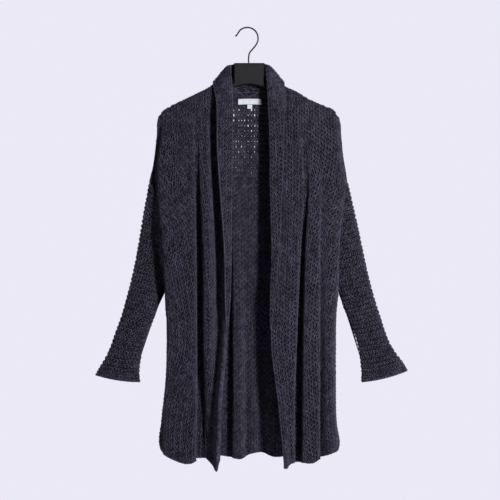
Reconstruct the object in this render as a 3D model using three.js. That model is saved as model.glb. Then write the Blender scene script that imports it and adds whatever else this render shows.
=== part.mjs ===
// An open cardigan of chunky dark knit with a shawl collar, hanging on a plain black hanger.
// Millimetres, +Z up. The front faces -Y and the wearer's left is at +X.
// The origin is the inside top of the hanger's hook, where a rail or peg carries it.

import * as THREE from 'three';

// Cloth
const WALL = 3;
const SEAM_GAP = 0.3;
const SHOULDER_ROUND = 22;

// How far the inner rims at an armhole lean away from each other, as a share of the wall
const RIM_LEAN = 0.35;

// Parts along X and Z of the direction out of a shoulder seam, and out of the cloth at the neck point
const SHOULDER_OUT = { x: 0.45, z: 0.89 };
const NECK_OUT = { x: 0.6, z: 0.8 };

// Front and back faces of the garment along Y
const FRONT = -1;
const BACK = 1;

// Rows of a panel: shares of the drop from shoulder tip to sleeve seam, then even steps
const SHOULDER_SHARES = [0, 0.015, 0.045, 0.1, 0.2, 0.4, 0.6, 0.8];
const ARMHOLE_STEPS = 10;
const SKIRT_STEPS = 8;
const SLEEVE_TOP_ROW = SHOULDER_SHARES.length;
const UNDERARM_ROW = SLEEVE_TOP_ROW + ARMHOLE_STEPS;
const COLLAR_LAST_ROW = UNDERARM_ROW + 2;

// Heights at which the fold tables give their places
const FOLD_LEVELS = [-190, -345, -503, -708, -844, -985];

// Each side of the body: sign along X, then its outline as points [x, z]
const SIDES = {
  right: {
    sign: -1,
    neck: [-57, -120],
    shoulder: [[-57, -120], [-78, -130], [-98, -140], [-133, -157], [-156, -168], [-177, -178], [-193, -189], [-201, -200]],
    upperArm: [[-201, -200], [-205, -214], [-205, -233], [-207, -257], [-212, -299], [-217, -326], [-223, -351]],
    sleeveTop: [-223, -351],
    underarm: [-185, -594],
    side: [[-185, -594], [-183, -642], [-183, -735], [-185, -794], [-190, -844], [-196, -898], [-201, -938], [-197, -957]],
    armholeHalfDepth: 27,
    armholeTuck: 9,
  },
  left: {
    sign: 1,
    neck: [63, -120],
    shoulder: [[63, -120], [86, -132], [114, -145], [135, -158], [159, -170], [183, -179], [201, -190], [208, -203]],
    upperArm: [[208, -203], [212, -219], [213, -239], [215, -262], [218, -291], [223, -320], [227, -347]],
    sleeveTop: [227, -347],
    underarm: [207, -601],
    side: [[207, -601], [202, -650], [201, -735], [201, -794], [201, -844], [203, -898], [210, -938], [207, -957]],
    armholeHalfDepth: 27,
    armholeTuck: 6,
  },
};

// Fold lines of each panel from its side to its other edge.
// x and y are at FOLD_LEVELS, hem is the height of the hem there, cells is the steps from the line before.
const FRONT_RIGHT_FOLDS = [
  { name: 'side turn', x: [-190, -205, -189, -178, -184, -190], y: [12, 26, 40, 38, 40, 42], hem: -967, cells: 2 },
  { name: 'column side', x: [-172, -180, -168, -164, -168, -172], y: [16, 34, 50, 50, 52, 52], hem: -976, cells: 2 },
  { name: 'column middle', x: [-143, -138, -134, -134, -134, -136], y: [20, 34, 52, 55, 57, 55], hem: -988, cells: 2 },
  { name: 'long valley', x: [-118, -114, -109, -107, -104, -103], y: [17, 20, 18, 14, 8, 8], hem: -978, cells: 3 },
  { name: 'long ridge', x: [-92, -90, -88, -88, -90, -91], y: [18, 38, 50, 50, 47, 42], hem: -983, cells: 3 },
  { name: 'gap by the collar', x: [-77, -73, -65, -59, -74, -79], y: [13, 9, 8, 20, 30, 32], hem: -990, cells: 3 },
  { name: 'band', x: [-67, -62, -54, -49, -63, -70], y: [14, 20, 27, 54, 63, 62], hem: -1002, cells: 2 },
  { name: 'front edge', x: [-57, -51, -46, -42, -55, -62], y: [18, 28, 36, 54, 62, 61], hem: -984, cells: 2 },
];
const FRONT_LEFT_FOLDS = [
  { name: 'side turn', x: [196, 210, 205, 195, 195, 201], y: [12, 28, 42, 38, 40, 42], hem: -961, cells: 2 },
  { name: 'outer ridge', x: [174, 187, 185, 183, 183, 186], y: [16, 34, 47, 48, 49, 48], hem: -966, cells: 2 },
  { name: 'thin valley', x: [150, 168, 165, 164, 163, 163], y: [19, 33, 37, 33, 30, 29], hem: -973, cells: 2 },
  { name: 'middle ridge', x: [134, 147, 146, 145, 145, 145], y: [20, 36, 48, 51, 53, 51], hem: -986, cells: 2 },
  { name: 'long valley', x: [116, 129, 124, 119, 118, 118], y: [20, 30, 20, 14, 10, 9], hem: -984, cells: 3 },
  { name: 'inner ridge', x: [98, 101, 92, 88, 94, 99], y: [18, 33, 45, 50, 54, 54], hem: -989, cells: 3 },
  { name: 'under the collar', x: [80, 82, 76, 68, 81, 90], y: [15, 28, 34, 51, 59, 60], hem: -998, cells: 2 },
  { name: 'front edge', x: [63, 63, 62, 54, 69, 83], y: [18, 27, 33, 51, 58, 59], hem: -997, cells: 2 },
];
const BACK_FOLDS = [
  { name: 'right turn', x: [-190, -207, -189, -177, -182, -189], y: [11, 24, 33, 34, 37, 39], hem: -962, cells: 2 },
  { name: 'right ridge', x: [-160, -166, -156, -152, -154, -158], y: [15, 28, 43, 48, 53, 57], hem: -966, cells: 2 },
  { name: 'right valley', x: [-118, -124, -120, -118, -120, -122], y: [16, 25, 31, 29, 27, 25], hem: -964, cells: 2 },
  { name: 'right neck fold', x: [-57, -80, -84, -84, -84, -86], y: [17, 29, 41, 46, 50, 54], hem: -968, cells: 3 },
  { name: 'collar fold', x: [-38, -40, -38, -37, -37, -37], y: [20, 29, 38, 44, 47, 50], hem: -970, cells: 2, open: true },
  { name: 'lit column', x: [-19, -20, -20, -19, -19, -19], y: [24, 28, 33, 34, 33, 33], hem: -973, cells: 2, open: true },
  { name: 'centre fold', x: [-2, -2, -3, -3, -3, -3], y: [24, 30, 36, 41, 43, 45], hem: -969, cells: 3, open: true },
  { name: 'second column', x: [20, 15, 13, 13, 13, 13], y: [24, 29, 34, 37, 36, 36], hem: -965, cells: 3, open: true },
  { name: 'shadow fold', x: [43, 38, 36, 36, 35, 35], y: [20, 30, 40, 48, 51, 53], hem: -967, cells: 3, open: true },
  { name: 'left neck ridge', x: [63, 66, 64, 60, 61, 62], y: [17, 27, 34, 37, 36, 35], hem: -974, cells: 3 },
  { name: 'left fold', x: [96, 100, 98, 96, 96, 98], y: [17, 28, 42, 50, 54, 58], hem: -971, cells: 2 },
  { name: 'left valley', x: [130, 134, 132, 130, 130, 132], y: [16, 26, 35, 36, 34, 32], hem: -966, cells: 2 },
  { name: 'left ridge', x: [164, 171, 168, 165, 166, 170], y: [14, 27, 43, 48, 53, 56], hem: -965, cells: 2 },
  { name: 'left turn', x: [192, 210, 205, 194, 195, 201], y: [11, 24, 34, 36, 38, 40], hem: -961, cells: 2 },
];
const BACK_NECK_DEPTH = 36;
const CENTRE_BACK_FOLD = 'centre fold';

// The shawl collar by stations: at is 0 at the centre back, 1 at the shoulder seam, then 1 more for each 100 mm
// below it. roll is where the collar turns over and free is its loose edge, both [x, y, z].
const COLLAR_RIGHT = [
  { at: 0, roll: [-2, 31, -83], free: [-2, 43, -148] },
  { at: 0.5, roll: [-25, 28, -83], free: [-36, 42, -146] },
  { at: 1, roll: [-39, 4, -86], free: [-77, 0, -120] },
  { at: 1.2, roll: [-38, -18, -93], free: [-76, -21, -138] },
  { at: 1.45, roll: [-35, -33, -124], free: [-71, -37, -164] },
  { at: 1.8, roll: [-33, -40, -180], free: [-69, -48, -200] },
  { at: 2.6, roll: [-33, -42, -276], free: [-68, -52, -280] },
  { at: 3.7, roll: [-34, -44, -390], free: [-60, -56, -390] },
  { at: 4.8, roll: [-35, -48, -500], free: [-52, -60, -500] },
  { at: 5.9, roll: [-35, -55, -610], free: [-49, -64, -610] },
  { at: 6.8, roll: [-32, -60, -700], free: [-45, -67, -700] },
];
const COLLAR_LEFT = [
  { at: 0, roll: [-2, 31, -83], free: [-2, 43, -148] },
  { at: 0.5, roll: [26, 28, -82], free: [38, 42, -146] },
  { at: 1, roll: [44, 4, -85], free: [83, 0, -121] },
  { at: 1.2, roll: [43, -16, -92], free: [84, -19, -140] },
  { at: 1.45, roll: [44, -30, -124], free: [86, -33, -166] },
  { at: 1.8, roll: [47, -37, -180], free: [84, -40, -200] },
  { at: 2.6, roll: [50, -40, -276], free: [83, -42, -280] },
  { at: 3.7, roll: [51, -42, -390], free: [79, -46, -390] },
  { at: 4.8, roll: [54, -46, -500], free: [73, -50, -500] },
  { at: 5.9, roll: [51, -54, -610], free: [64, -60, -610] },
  { at: 6.8, roll: [45, -59, -700], free: [57, -66, -700] },
];
const COLLAR_CELLS = { leg: 2, turn: 2 };
const ROLL_RADIUS = 5;
const ROLL_SHARE = 0.35;
const STATION_STEP = 100;
const NECK_GAP = 2.5 * SEAM_GAP;
const TAPER_GAP = 4 * SEAM_GAP;
const NECK_ROWS = 3;

// Sleeves by stations from armhole to cuff: outer and inner edge [x, z], half depth to the front and back, centre y
const SLEEVE_RIGHT = [
  { outer: [-232, -402], inner: [-187, -598], front: 30, back: 28, y: 0 },
  { outer: [-240, -448], inner: [-190, -603], front: 31, back: 28, y: 0 },
  { outer: [-250, -505], inner: [-194, -611], front: 31, back: 28, y: -1 },
  { outer: [-261, -562], inner: [-200, -625], front: 30, back: 27, y: -2 },
  { outer: [-273, -609], inner: [-208, -646], front: 28, back: 26, y: -3 },
  { outer: [-286, -655], inner: [-219, -677], front: 26, back: 25, y: -4 },
  { outer: [-299, -690], inner: [-229, -702], front: 25, back: 24, y: -5 },
  { outer: [-309, -720], inner: [-238, -731], front: 24, back: 23, y: -6 },
  { outer: [-322, -748], inner: [-243, -759], front: 23, back: 22, y: -7 },
  { outer: [-334, -768], inner: [-245, -781], front: 23, back: 22, y: -7 },
  { outer: [-345, -787], inner: [-243, -803], front: 23, back: 22, y: -7 },
];
const SLEEVE_LEFT = [
  { outer: [239, -399], inner: [208.5, -604], front: 30, back: 28, y: 0 },
  { outer: [250, -447], inner: [210.5, -608], front: 31, back: 28, y: 0 },
  { outer: [262, -504], inner: [213, -615], front: 31, back: 28, y: -1 },
  { outer: [274, -560], inner: [217, -629], front: 30, back: 27, y: -2 },
  { outer: [287, -609], inner: [226, -651], front: 28, back: 26, y: -3 },
  { outer: [300, -650], inner: [239, -680], front: 26, back: 25, y: -4 },
  { outer: [311, -684], inner: [248, -706], front: 25, back: 24, y: -5 },
  { outer: [322, -713], inner: [254, -735], front: 24, back: 23, y: -6 },
  { outer: [337, -738], inner: [257, -758], front: 23, back: 22, y: -7 },
  { outer: [352, -757], inner: [259, -780], front: 23, back: 22, y: -7 },
  { outer: [364, -777], inner: [259, -803], front: 23, back: 22, y: -7 },
];
const CUFF_DIP = 4;

// Neck label and the small tab sewn under it, on the inside of the back
const LABEL = { x: [-21, 32], z: [-161, -173], steps: 8 };
const SIZE_TAB = { x: [0, 11], z: [-173.5, -184], steps: 2 };
const LABEL_THICKNESS = 0.8;
const LABEL_CLEARANCE = 0.4;

// Hanger
const HANGER_THICKNESS = 10;
const HANGER_BEVEL = 2.5;
const BLOCK = { left: -31, right: 40, top: -79, foot: -135, arch: -127, corner: 4 };
const ARM_CLEARANCE = 1.9;
const ARM_NECK_DROP = 3;
const ARM_NECK_REACH = 30;
const ARM_STEPS = 8;
const ARM_ROOT_HEIGHT = 24;
const ARM_TIP_HEIGHT = 15;
const ARM_TIP_INSET = 20;
const ARM_ROOT_TOP = -124;
const WIRE_RADIUS = 1.75;
const HOOK_INNER_RADIUS = 22.75;
const STEM_X = 3;

// Finishes
const KNIT = { color: 0x2e2d38, roughness: 0.95, metalness: 0 };
const TAPE = { color: 0xf0f0f2, roughness: 0.7, metalness: 0 };
const BLACK_PLASTIC = { color: 0x303234, roughness: 0.55, metalness: 0 };
const BLACK_WIRE = { color: 0x1c1c1e, roughness: 0.35, metalness: 0.8 };

const mix = (a, b, share) => a + (b - a) * share;
const vector = (x, y, z) => new THREE.Vector3(x, y, z);
const mixVectors = (a, b, share) => a.clone().lerp(b, share);

// Smooth curve through values given at places that rise or fall steadily
function smoothValue(places, values, at) {
  const falling = places[0] > places[places.length - 1];
  const key = falling ? -at : at;
  const keys = falling ? places.map((place) => -place) : places;
  const last = keys.length - 1;
  if (key <= keys[0]) return values[0];
  if (key >= keys[last]) return values[last];
  let i = 0;
  while (key > keys[i + 1]) i += 1;
  const slope = (j) => {
    const from = Math.max(0, j - 1);
    const to = Math.min(last, j + 1);
    return (values[to] - values[from]) / (keys[to] - keys[from]);
  };
  const span = keys[i + 1] - keys[i];
  const t = (key - keys[i]) / span;
  const t2 = t * t;
  const t3 = t2 * t;
  return (2 * t3 - 3 * t2 + 1) * values[i] + (t3 - 2 * t2 + t) * span * slope(i)
    + (3 * t2 - 2 * t3) * values[i + 1] + (t3 - t2) * span * slope(i + 1);
}

const column = (rows, index) => rows.map((row) => row[index]);
const outlineX = (points, z) => smoothValue(column(points, 1), column(points, 0), z);
const outlineZ = (points, x) => smoothValue(column(points, 0), column(points, 1), x);

function sideFor(x) {
  return x < 0 ? SIDES.right : SIDES.left;
}

// Armhole loop at an angle from 0 at the top to pi at the underarm, on the front or the back
function armholePoint(side, face, angle) {
  const share = (1 - Math.cos(angle)) / 2;
  const tuck = side.sign * side.armholeTuck * Math.sin(angle) ** 2;
  return vector(
    mix(side.sleeveTop[0], side.underarm[0], share) - tuck,
    face * side.armholeHalfDepth * Math.sin(angle),
    mix(side.sleeveTop[1], side.underarm[1], share),
  );
}

// Direction through the cloth at the armhole, from its outer to its inner skin
function armholeInward(side, face, angle) {
  const top = Math.cos(angle / 2) ** 4;
  const bottom = Math.sin(angle / 2) ** 4;
  return vector(-side.sign * top, -face * Math.sin(angle), bottom - 0.1 * top).normalize();
}

// Direction across the armhole seam, from the body to the sleeve
function armholeAcross(side, face, angle) {
  const step = 0.02;
  const ahead = armholePoint(side, face, Math.min(Math.PI, angle + step));
  const behind = armholePoint(side, face, Math.max(0, angle - step));
  const across = ahead.sub(behind).cross(armholeInward(side, face, angle)).normalize();
  const towardSleeve = vector(side.sign, 0, -1);
  return across.dot(towardSleeve) < 0 ? across.negate() : across;
}

// Outer edge of a body panel: for each row its point and the direction through the cloth
function sideEdge(side, face) {
  const rows = [];
  const seamY = (face * SEAM_GAP) / 2;
  const tip = side.shoulder[side.shoulder.length - 1];
  for (const share of SHOULDER_SHARES) {
    const z = mix(tip[1], side.sleeveTop[1], share);
    const down = share === 0 ? -1 : 0;
    rows.push({
      point: vector(outlineX(side.upperArm, z), seamY, z),
      inward: vector(-side.sign, 0, down).normalize(),
    });
  }
  for (let step = 0; step <= ARMHOLE_STEPS; step += 1) {
    const angle = (Math.PI * step) / ARMHOLE_STEPS;
    const across = armholeAcross(side, face, angle);
    const point = armholePoint(side, face, angle).addScaledVector(across, -SEAM_GAP / 2);
    point.y = face * Math.max(SEAM_GAP / 2, Math.abs(point.y));
    rows.push({ point, inward: armholeInward(side, face, angle).addScaledVector(across, -RIM_LEAN).normalize() });
  }
  const hem = side.side[side.side.length - 1];
  for (let step = 1; step <= SKIRT_STEPS; step += 1) {
    const z = mix(side.underarm[1], hem[1], step / SKIRT_STEPS);
    rows.push({ point: vector(outlineX(side.side, z), seamY, z), inward: vector(-side.sign, 0, 0) });
  }
  return rows;
}

function edgeShares(edge) {
  const top = edge[0].point.z;
  const bottom = edge[edge.length - 1].point.z;
  return edge.map((row) => (top - row.point.z) / (top - bottom));
}

// Height where a fold line starts: on the shoulder seam, or on the back neck line
function foldTop(fold) {
  const x = fold.x[0];
  const side = sideFor(x);
  if (!fold.open) return outlineZ(side.shoulder, x);
  const middle = (SIDES.right.neck[0] + SIDES.left.neck[0]) / 2;
  const half = SIDES.left.neck[0] - middle;
  return SIDES.left.neck[1] - BACK_NECK_DEPTH * Math.cos((Math.PI * (x - middle)) / (2 * half)) ** 2;
}

function foldPoint(fold, face, share) {
  const top = foldTop(fold);
  const z = mix(top, fold.hem, share);
  const near = Math.min(1, (top - z) / SHOULDER_ROUND);
  const round = fold.open ? 1 : Math.sqrt(1 - (1 - near) ** 2);
  const depth = smoothValue(FOLD_LEVELS, fold.y, z) * round;
  return vector(smoothValue(FOLD_LEVELS, fold.x, z), face * Math.max(SEAM_GAP / 2, depth), z);
}

// Points on a smooth curve through the fold lines, kept on the panel's own side of the seam plane
function splitCells(points, cells, face) {
  const curve = new THREE.CatmullRomCurve3(points, false, 'centripetal');
  const places = [curve.getPoint(0)];
  for (let i = 0; i < cells.length; i += 1) {
    for (let step = 1; step <= cells[i]; step += 1) {
      places.push(curve.getPoint((i + step / cells[i]) / cells.length));
    }
  }
  places.forEach((place) => { place.y = face * Math.max(SEAM_GAP / 2, face * place.y); });
  return places;
}

// Normals of a grid of points, turned to the side that the hint points to where one is given
function gridNormals(grid, hint = null) {
  return grid.map((row, r) => row.map((point, c) => {
    const up = grid[Math.max(0, r - 1)][c];
    const down = grid[Math.min(grid.length - 1, r + 1)][c];
    const before = row[Math.max(0, c - 1)];
    const after = row[Math.min(row.length - 1, c + 1)];
    const normal = after.clone().sub(before).cross(up.clone().sub(down)).normalize();
    return hint && normal.dot(hint) < 0 ? normal.negate() : normal;
  }));
}

// Normals averaged with those of the rows before and after, where rows lie close on a tight turn
function easedNormals(normals) {
  const last = normals.length - 1;
  return normals.map((row, r) => row.map((normal, c) => {
    const sum = normals[Math.max(0, r - 1)][c].clone().add(normals[Math.min(last, r + 1)][c]);
    return sum.addScaledVector(normal, 2).normalize();
  }));
}

// Closed wall between two grids of points that match row by row
function wallGeometry(outer, inner, ring = false) {
  const rows = outer.length;
  const cols = outer[0].length;
  const positions = [];
  for (const grid of [outer, inner]) {
    for (const row of grid) {
      for (const point of row) positions.push(point.x, point.y, point.z);
    }
  }
  const at = (skin, r, c) => skin * rows * cols + r * cols + (c % cols);
  const faces = [];
  const quad = (a, b, c, d) => faces.push(a, b, c, a, c, d);
  const lastCell = ring ? cols : cols - 1;
  for (let r = 0; r < rows - 1; r += 1) {
    for (let c = 0; c < lastCell; c += 1) {
      quad(at(0, r, c), at(0, r + 1, c), at(0, r + 1, c + 1), at(0, r, c + 1));
      quad(at(1, r, c), at(1, r, c + 1), at(1, r + 1, c + 1), at(1, r + 1, c));
    }
  }
  for (let c = 0; c < lastCell; c += 1) {
    quad(at(0, 0, c), at(0, 0, c + 1), at(1, 0, c + 1), at(1, 0, c));
    quad(at(0, rows - 1, c), at(1, rows - 1, c), at(1, rows - 1, c + 1), at(0, rows - 1, c + 1));
  }
  for (let r = 0; !ring && r < rows - 1; r += 1) {
    quad(at(0, r, 0), at(1, r, 0), at(1, r + 1, 0), at(0, r + 1, 0));
    quad(at(0, r, cols - 1), at(0, r + 1, cols - 1), at(1, r + 1, cols - 1), at(1, r, cols - 1));
  }
  const geometry = new THREE.BufferGeometry();
  geometry.setAttribute('position', new THREE.Float32BufferAttribute(positions, 3));
  geometry.setIndex(faces);
  if (signedVolume(geometry) < 0) geometry.setIndex(turnedOver(faces));
  geometry.computeVertexNormals();
  return geometry;
}

// The same triangles facing the other way
function turnedOver(faces) {
  const turned = [];
  for (let i = 0; i < faces.length; i += 3) turned.push(faces[i], faces[i + 2], faces[i + 1]);
  return turned;
}

function signedVolume(geometry) {
  const position = geometry.getAttribute('position');
  const index = geometry.getIndex();
  const corners = [new THREE.Vector3(), new THREE.Vector3(), new THREE.Vector3()];
  let volume = 0;
  for (let i = 0; i < index.count; i += 3) {
    corners.forEach((corner, j) => corner.fromBufferAttribute(position, index.getX(i + j)));
    volume += corners[0].dot(corners[1].clone().cross(corners[2])) / 6;
  }
  return volume;
}

function namedMesh(name, geometry, finish) {
  const mesh = new THREE.Mesh(geometry, new THREE.MeshStandardMaterial(finish));
  mesh.name = name;
  return mesh;
}

// Direction through the cloth along a shoulder seam, and at the neck point where the collar starts
const shoulderInward = (side) => vector(-side.sign * SHOULDER_OUT.x, 0, -SHOULDER_OUT.z);
const neckInward = (side) => vector(-side.sign * NECK_OUT.x, 0, -NECK_OUT.z);

// A front: rows from shoulder to hem, columns from the side to the front edge
function frontPanel(side, folds) {
  const edge = sideEdge(side, FRONT);
  const shares = edgeShares(edge);
  const cells = folds.map((fold) => fold.cells);
  const outer = edge.map((row, r) => {
    const points = [row.point, ...folds.map((fold) => foldPoint(fold, FRONT, shares[r]))];
    return splitCells(points, cells, FRONT);
  });
  const inward = gridNormals(outer, vector(0, -1, 0.2)).map((row) => row.map((n) => n.negate()));
  inward[0] = inward[0].map(() => shoulderInward(side));
  edge.forEach((row, r) => { inward[r][0] = row.inward; });
  inward[0][inward[0].length - 1] = neckInward(side);
  const inner = outer.map((row, r) => row.map((point, c) => point.clone().addScaledVector(inward[r][c], WALL)));
  return { outer, inner };
}

// The back: columns from the wearer's right side to the left, with the neck line between the neck folds
function backPanel() {
  const rightEdge = sideEdge(SIDES.right, BACK);
  const leftEdge = sideEdge(SIDES.left, BACK);
  const rightShares = edgeShares(rightEdge);
  const leftShares = edgeShares(leftEdge);
  const cells = [...BACK_FOLDS.map((fold) => fold.cells), 2];
  const outer = rightEdge.map((row, r) => {
    const across = (i) => (i + 1) / (BACK_FOLDS.length + 1);
    const share = (i) => mix(rightShares[r], leftShares[r], across(i));
    const points = BACK_FOLDS.map((fold, i) => foldPoint(fold, BACK, share(i)));
    return splitCells([row.point, ...points, leftEdge[r].point], cells, BACK);
  });
  const inward = gridNormals(outer, vector(0, 1, 0.2)).map((row) => row.map((n) => n.negate()));
  const rightNeck = foldColumn(BACK_FOLDS, 'right neck fold');
  const leftNeck = foldColumn(BACK_FOLDS, 'left neck ridge');
  inward[0] = inward[0].map((n, c) => {
    if (c < rightNeck) return shoulderInward(SIDES.right);
    if (c === rightNeck) return neckInward(SIDES.right);
    if (c === leftNeck) return neckInward(SIDES.left);
    if (c > leftNeck) return shoulderInward(SIDES.left);
    return vector(0, -1, 0);
  });
  rightEdge.forEach((row, r) => { inward[r][0] = row.inward; });
  leftEdge.forEach((row, r) => { inward[r][inward[r].length - 1] = row.inward; });
  const inner = outer.map((row, r) => row.map((point, c) => point.clone().addScaledVector(inward[r][c], WALL)));
  return { outer, inner, rightNeck, leftNeck };
}

function foldColumn(folds, name) {
  let cells = 0;
  for (const fold of folds) {
    cells += fold.cells;
    if (fold.name === name) return cells;
  }
  return cells;
}

// Seam of a collar half: for each station the two skins of the panel edge that it is sewn to, moved off by the gap
function collarSeam(side, front, back) {
  const stations = [];
  const centre = foldColumn(BACK_FOLDS, CENTRE_BACK_FOLD);
  const neck = side.sign < 0 ? back.rightNeck : back.leftNeck;
  const step = side.sign;
  for (let c = centre; c !== neck; c += step) {
    const away = back.outer[0][c].clone().sub(back.outer[1][c]).normalize();
    stations.push({
      at: (c - centre) / (neck - centre),
      skin: back.inner[0][c].clone().addScaledVector(away, SEAM_GAP),
      hidden: back.outer[0][c].clone().addScaledVector(away, SEAM_GAP),
    });
  }
  stations[0].skin.x += (side.sign * SEAM_GAP) / 2;
  stations[0].hidden.x += (side.sign * SEAM_GAP) / 2;
  const last = front.outer[0].length - 1;
  const neckAway = vector(-side.sign * NECK_OUT.z, 0, NECK_OUT.x);
  stations.push({
    at: 1,
    skin: mixVectors(front.inner[0][last], back.inner[0][neck], 0.5).addScaledVector(neckAway, 2 * SEAM_GAP),
    hidden: mixVectors(front.outer[0][last], back.outer[0][neck], 0.5).addScaledVector(neckAway, 2 * SEAM_GAP),
  });
  for (let r = 1; r <= COLLAR_LAST_ROW; r += 1) {
    const edge = front.outer[r][last];
    const along = front.outer[r + 1][last].clone().sub(front.outer[r - 1][last]).normalize();
    const away = edge.clone().sub(front.outer[r][last - 1]).projectOnPlane(along).normalize();
    const nearNeck = r <= NECK_ROWS ? NECK_GAP : SEAM_GAP;
    const gap = r === COLLAR_LAST_ROW ? TAPER_GAP : nearNeck;
    stations.push({
      at: 1 + (side.neck[1] - edge.z) / STATION_STEP,
      skin: front.inner[r][last].clone().addScaledVector(away, gap),
      hidden: edge.clone().addScaledVector(away, gap),
    });
  }
  return stations;
}

function tablePoint(table, key, at) {
  const places = table.map((row) => row.at);
  return vector(...[0, 1, 2].map((axis) => smoothValue(places, table.map((row) => row[key][axis]), at)));
}

// Section of the collar: up from the seam, round the roll and down to the free edge
function collarSection(seam, roll, free) {
  const toSeam = seam.clone().sub(roll);
  const toFree = free.clone().sub(roll);
  const radius = Math.min(ROLL_RADIUS, ROLL_SHARE * Math.min(toSeam.length(), toFree.length()));
  toSeam.normalize();
  toFree.normalize();
  const centre = toSeam.clone().add(toFree).setLength(radius).add(roll);
  const aside = toSeam.clone().sub(toFree).setLength(radius);
  const points = [seam, centre.clone().add(aside), roll, centre.clone().sub(aside), free];
  const curve = new THREE.CatmullRomCurve3(points, false, 'centripetal');
  const { leg, turn } = COLLAR_CELLS;
  const places = [curve.getPoint(0)];
  [leg, turn, turn, leg].forEach((cells, i) => {
    for (let step = 1; step <= cells; step += 1) places.push(curve.getPoint((i + step / cells) / 4));
  });
  return places;
}

// A collar half: rows along the seam, columns from the seam over the roll to the free edge
function collarHalf(side, table, front, back) {
  const seam = collarSeam(side, front, back);
  const skin = seam.map((station, r) => {
    const roll = tablePoint(table, 'roll', station.at);
    const free = tablePoint(table, 'free', station.at);
    if (r === 0) {
      roll.x = station.skin.x;
      free.x = station.skin.x;
    }
    return collarSection(station.skin, roll, free);
  });
  const normals = easedNormals(gridNormals(skin));
  const hidden = skin.map((row, r) => row.map((point, c) => {
    return c === 0 ? seam[r].hidden : point.clone().addScaledVector(normals[r][c], -side.sign * WALL);
  }));
  hidden[0].forEach((point) => { point.x = skin[0][0].x; });
  return wallGeometry(skin, hidden);
}

// A sleeve: rings from the armhole to the cuff, each from its outer edge round the front
function sleeve(side, stations) {
  const around = 2 * ARMHOLE_STEPS;
  const angles = Array.from({ length: around }, (_, i) => (2 * Math.PI * i) / around);
  const first = angles.map((angle) => {
    const face = angle <= Math.PI ? FRONT : BACK;
    const half = angle <= Math.PI ? angle : 2 * Math.PI - angle;
    const across = armholeAcross(side, face, half);
    return {
      point: armholePoint(side, face, half).addScaledVector(across, SEAM_GAP / 2),
      inward: armholeInward(side, face, half).addScaledVector(across, RIM_LEAN).normalize(),
    };
  });
  const rings = stations.map((station, i) => angles.map((angle) => {
    const share = (1 - Math.cos(angle)) / 2;
    const depth = Math.sin(angle) > 0 ? station.front : station.back;
    const tuck = side.sign * side.armholeTuck * Math.max(0, 1 - (i + 1) / 4) * Math.sin(angle) ** 2;
    const dip = i === stations.length - 1 ? CUFF_DIP * Math.sin(angle) ** 2 : 0;
    return vector(
      mix(station.outer[0], station.inner[0], share) - tuck,
      station.y - depth * Math.sin(angle),
      mix(station.outer[1], station.inner[1], share) - dip,
    );
  }));
  const outer = [first.map((place) => place.point), ...rings];
  const inner = outer.map((ring, r) => ring.map((point, c) => {
    if (r === 0) return point.clone().addScaledVector(first[c].inward, WALL);
    const before = ring[(c + ring.length - 1) % ring.length];
    const after = ring[(c + 1) % ring.length];
    const up = outer[r - 1][c];
    const down = outer[Math.min(outer.length - 1, r + 1)][c];
    const normal = after.clone().sub(before).cross(up.clone().sub(down)).normalize();
    const centre = mixVectors(ring[0], ring[ARMHOLE_STEPS], 0.5);
    if (normal.dot(centre.sub(point)) < 0) normal.negate();
    return point.clone().addScaledVector(normal, WALL);
  }));
  return wallGeometry(outer, inner, true);
}

// Height of a faceted grid along Y at a place in X and Z
function depthAt(grid, x, z) {
  for (let r = 0; r < grid.length - 1; r += 1) {
    for (let c = 0; c < grid[r].length - 1; c += 1) {
      const corners = [grid[r][c], grid[r + 1][c], grid[r + 1][c + 1], grid[r][c + 1]];
      for (const [a, b, d] of [[0, 1, 2], [0, 2, 3]]) {
        const flat = [a, b, d].map((i) => new THREE.Vector3(corners[i].x, corners[i].z, 0));
        const triangle = new THREE.Triangle(...flat);
        const weights = triangle.getBarycoord(new THREE.Vector3(x, z, 0), new THREE.Vector3());
        if (weights && Math.min(weights.x, weights.y, weights.z) >= -1e-9) {
          return weights.x * corners[a].y + weights.y * corners[b].y + weights.z * corners[d].y;
        }
      }
    }
  }
  return grid[0][0].y;
}

// A tape sewn on the inside of the back, made from that surface moved out
function tape(size, back) {
  const xs = Array.from({ length: size.steps + 1 }, (_, i) => mix(size.x[0], size.x[1], i / size.steps));
  const skin = (clearance) => size.z.map((z) => xs.map((x) => {
    return vector(x, depthAt(back.inner, x, z) - clearance, z);
  }));
  return wallGeometry(skin(LABEL_CLEARANCE), skin(LABEL_CLEARANCE + LABEL_THICKNESS));
}

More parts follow.
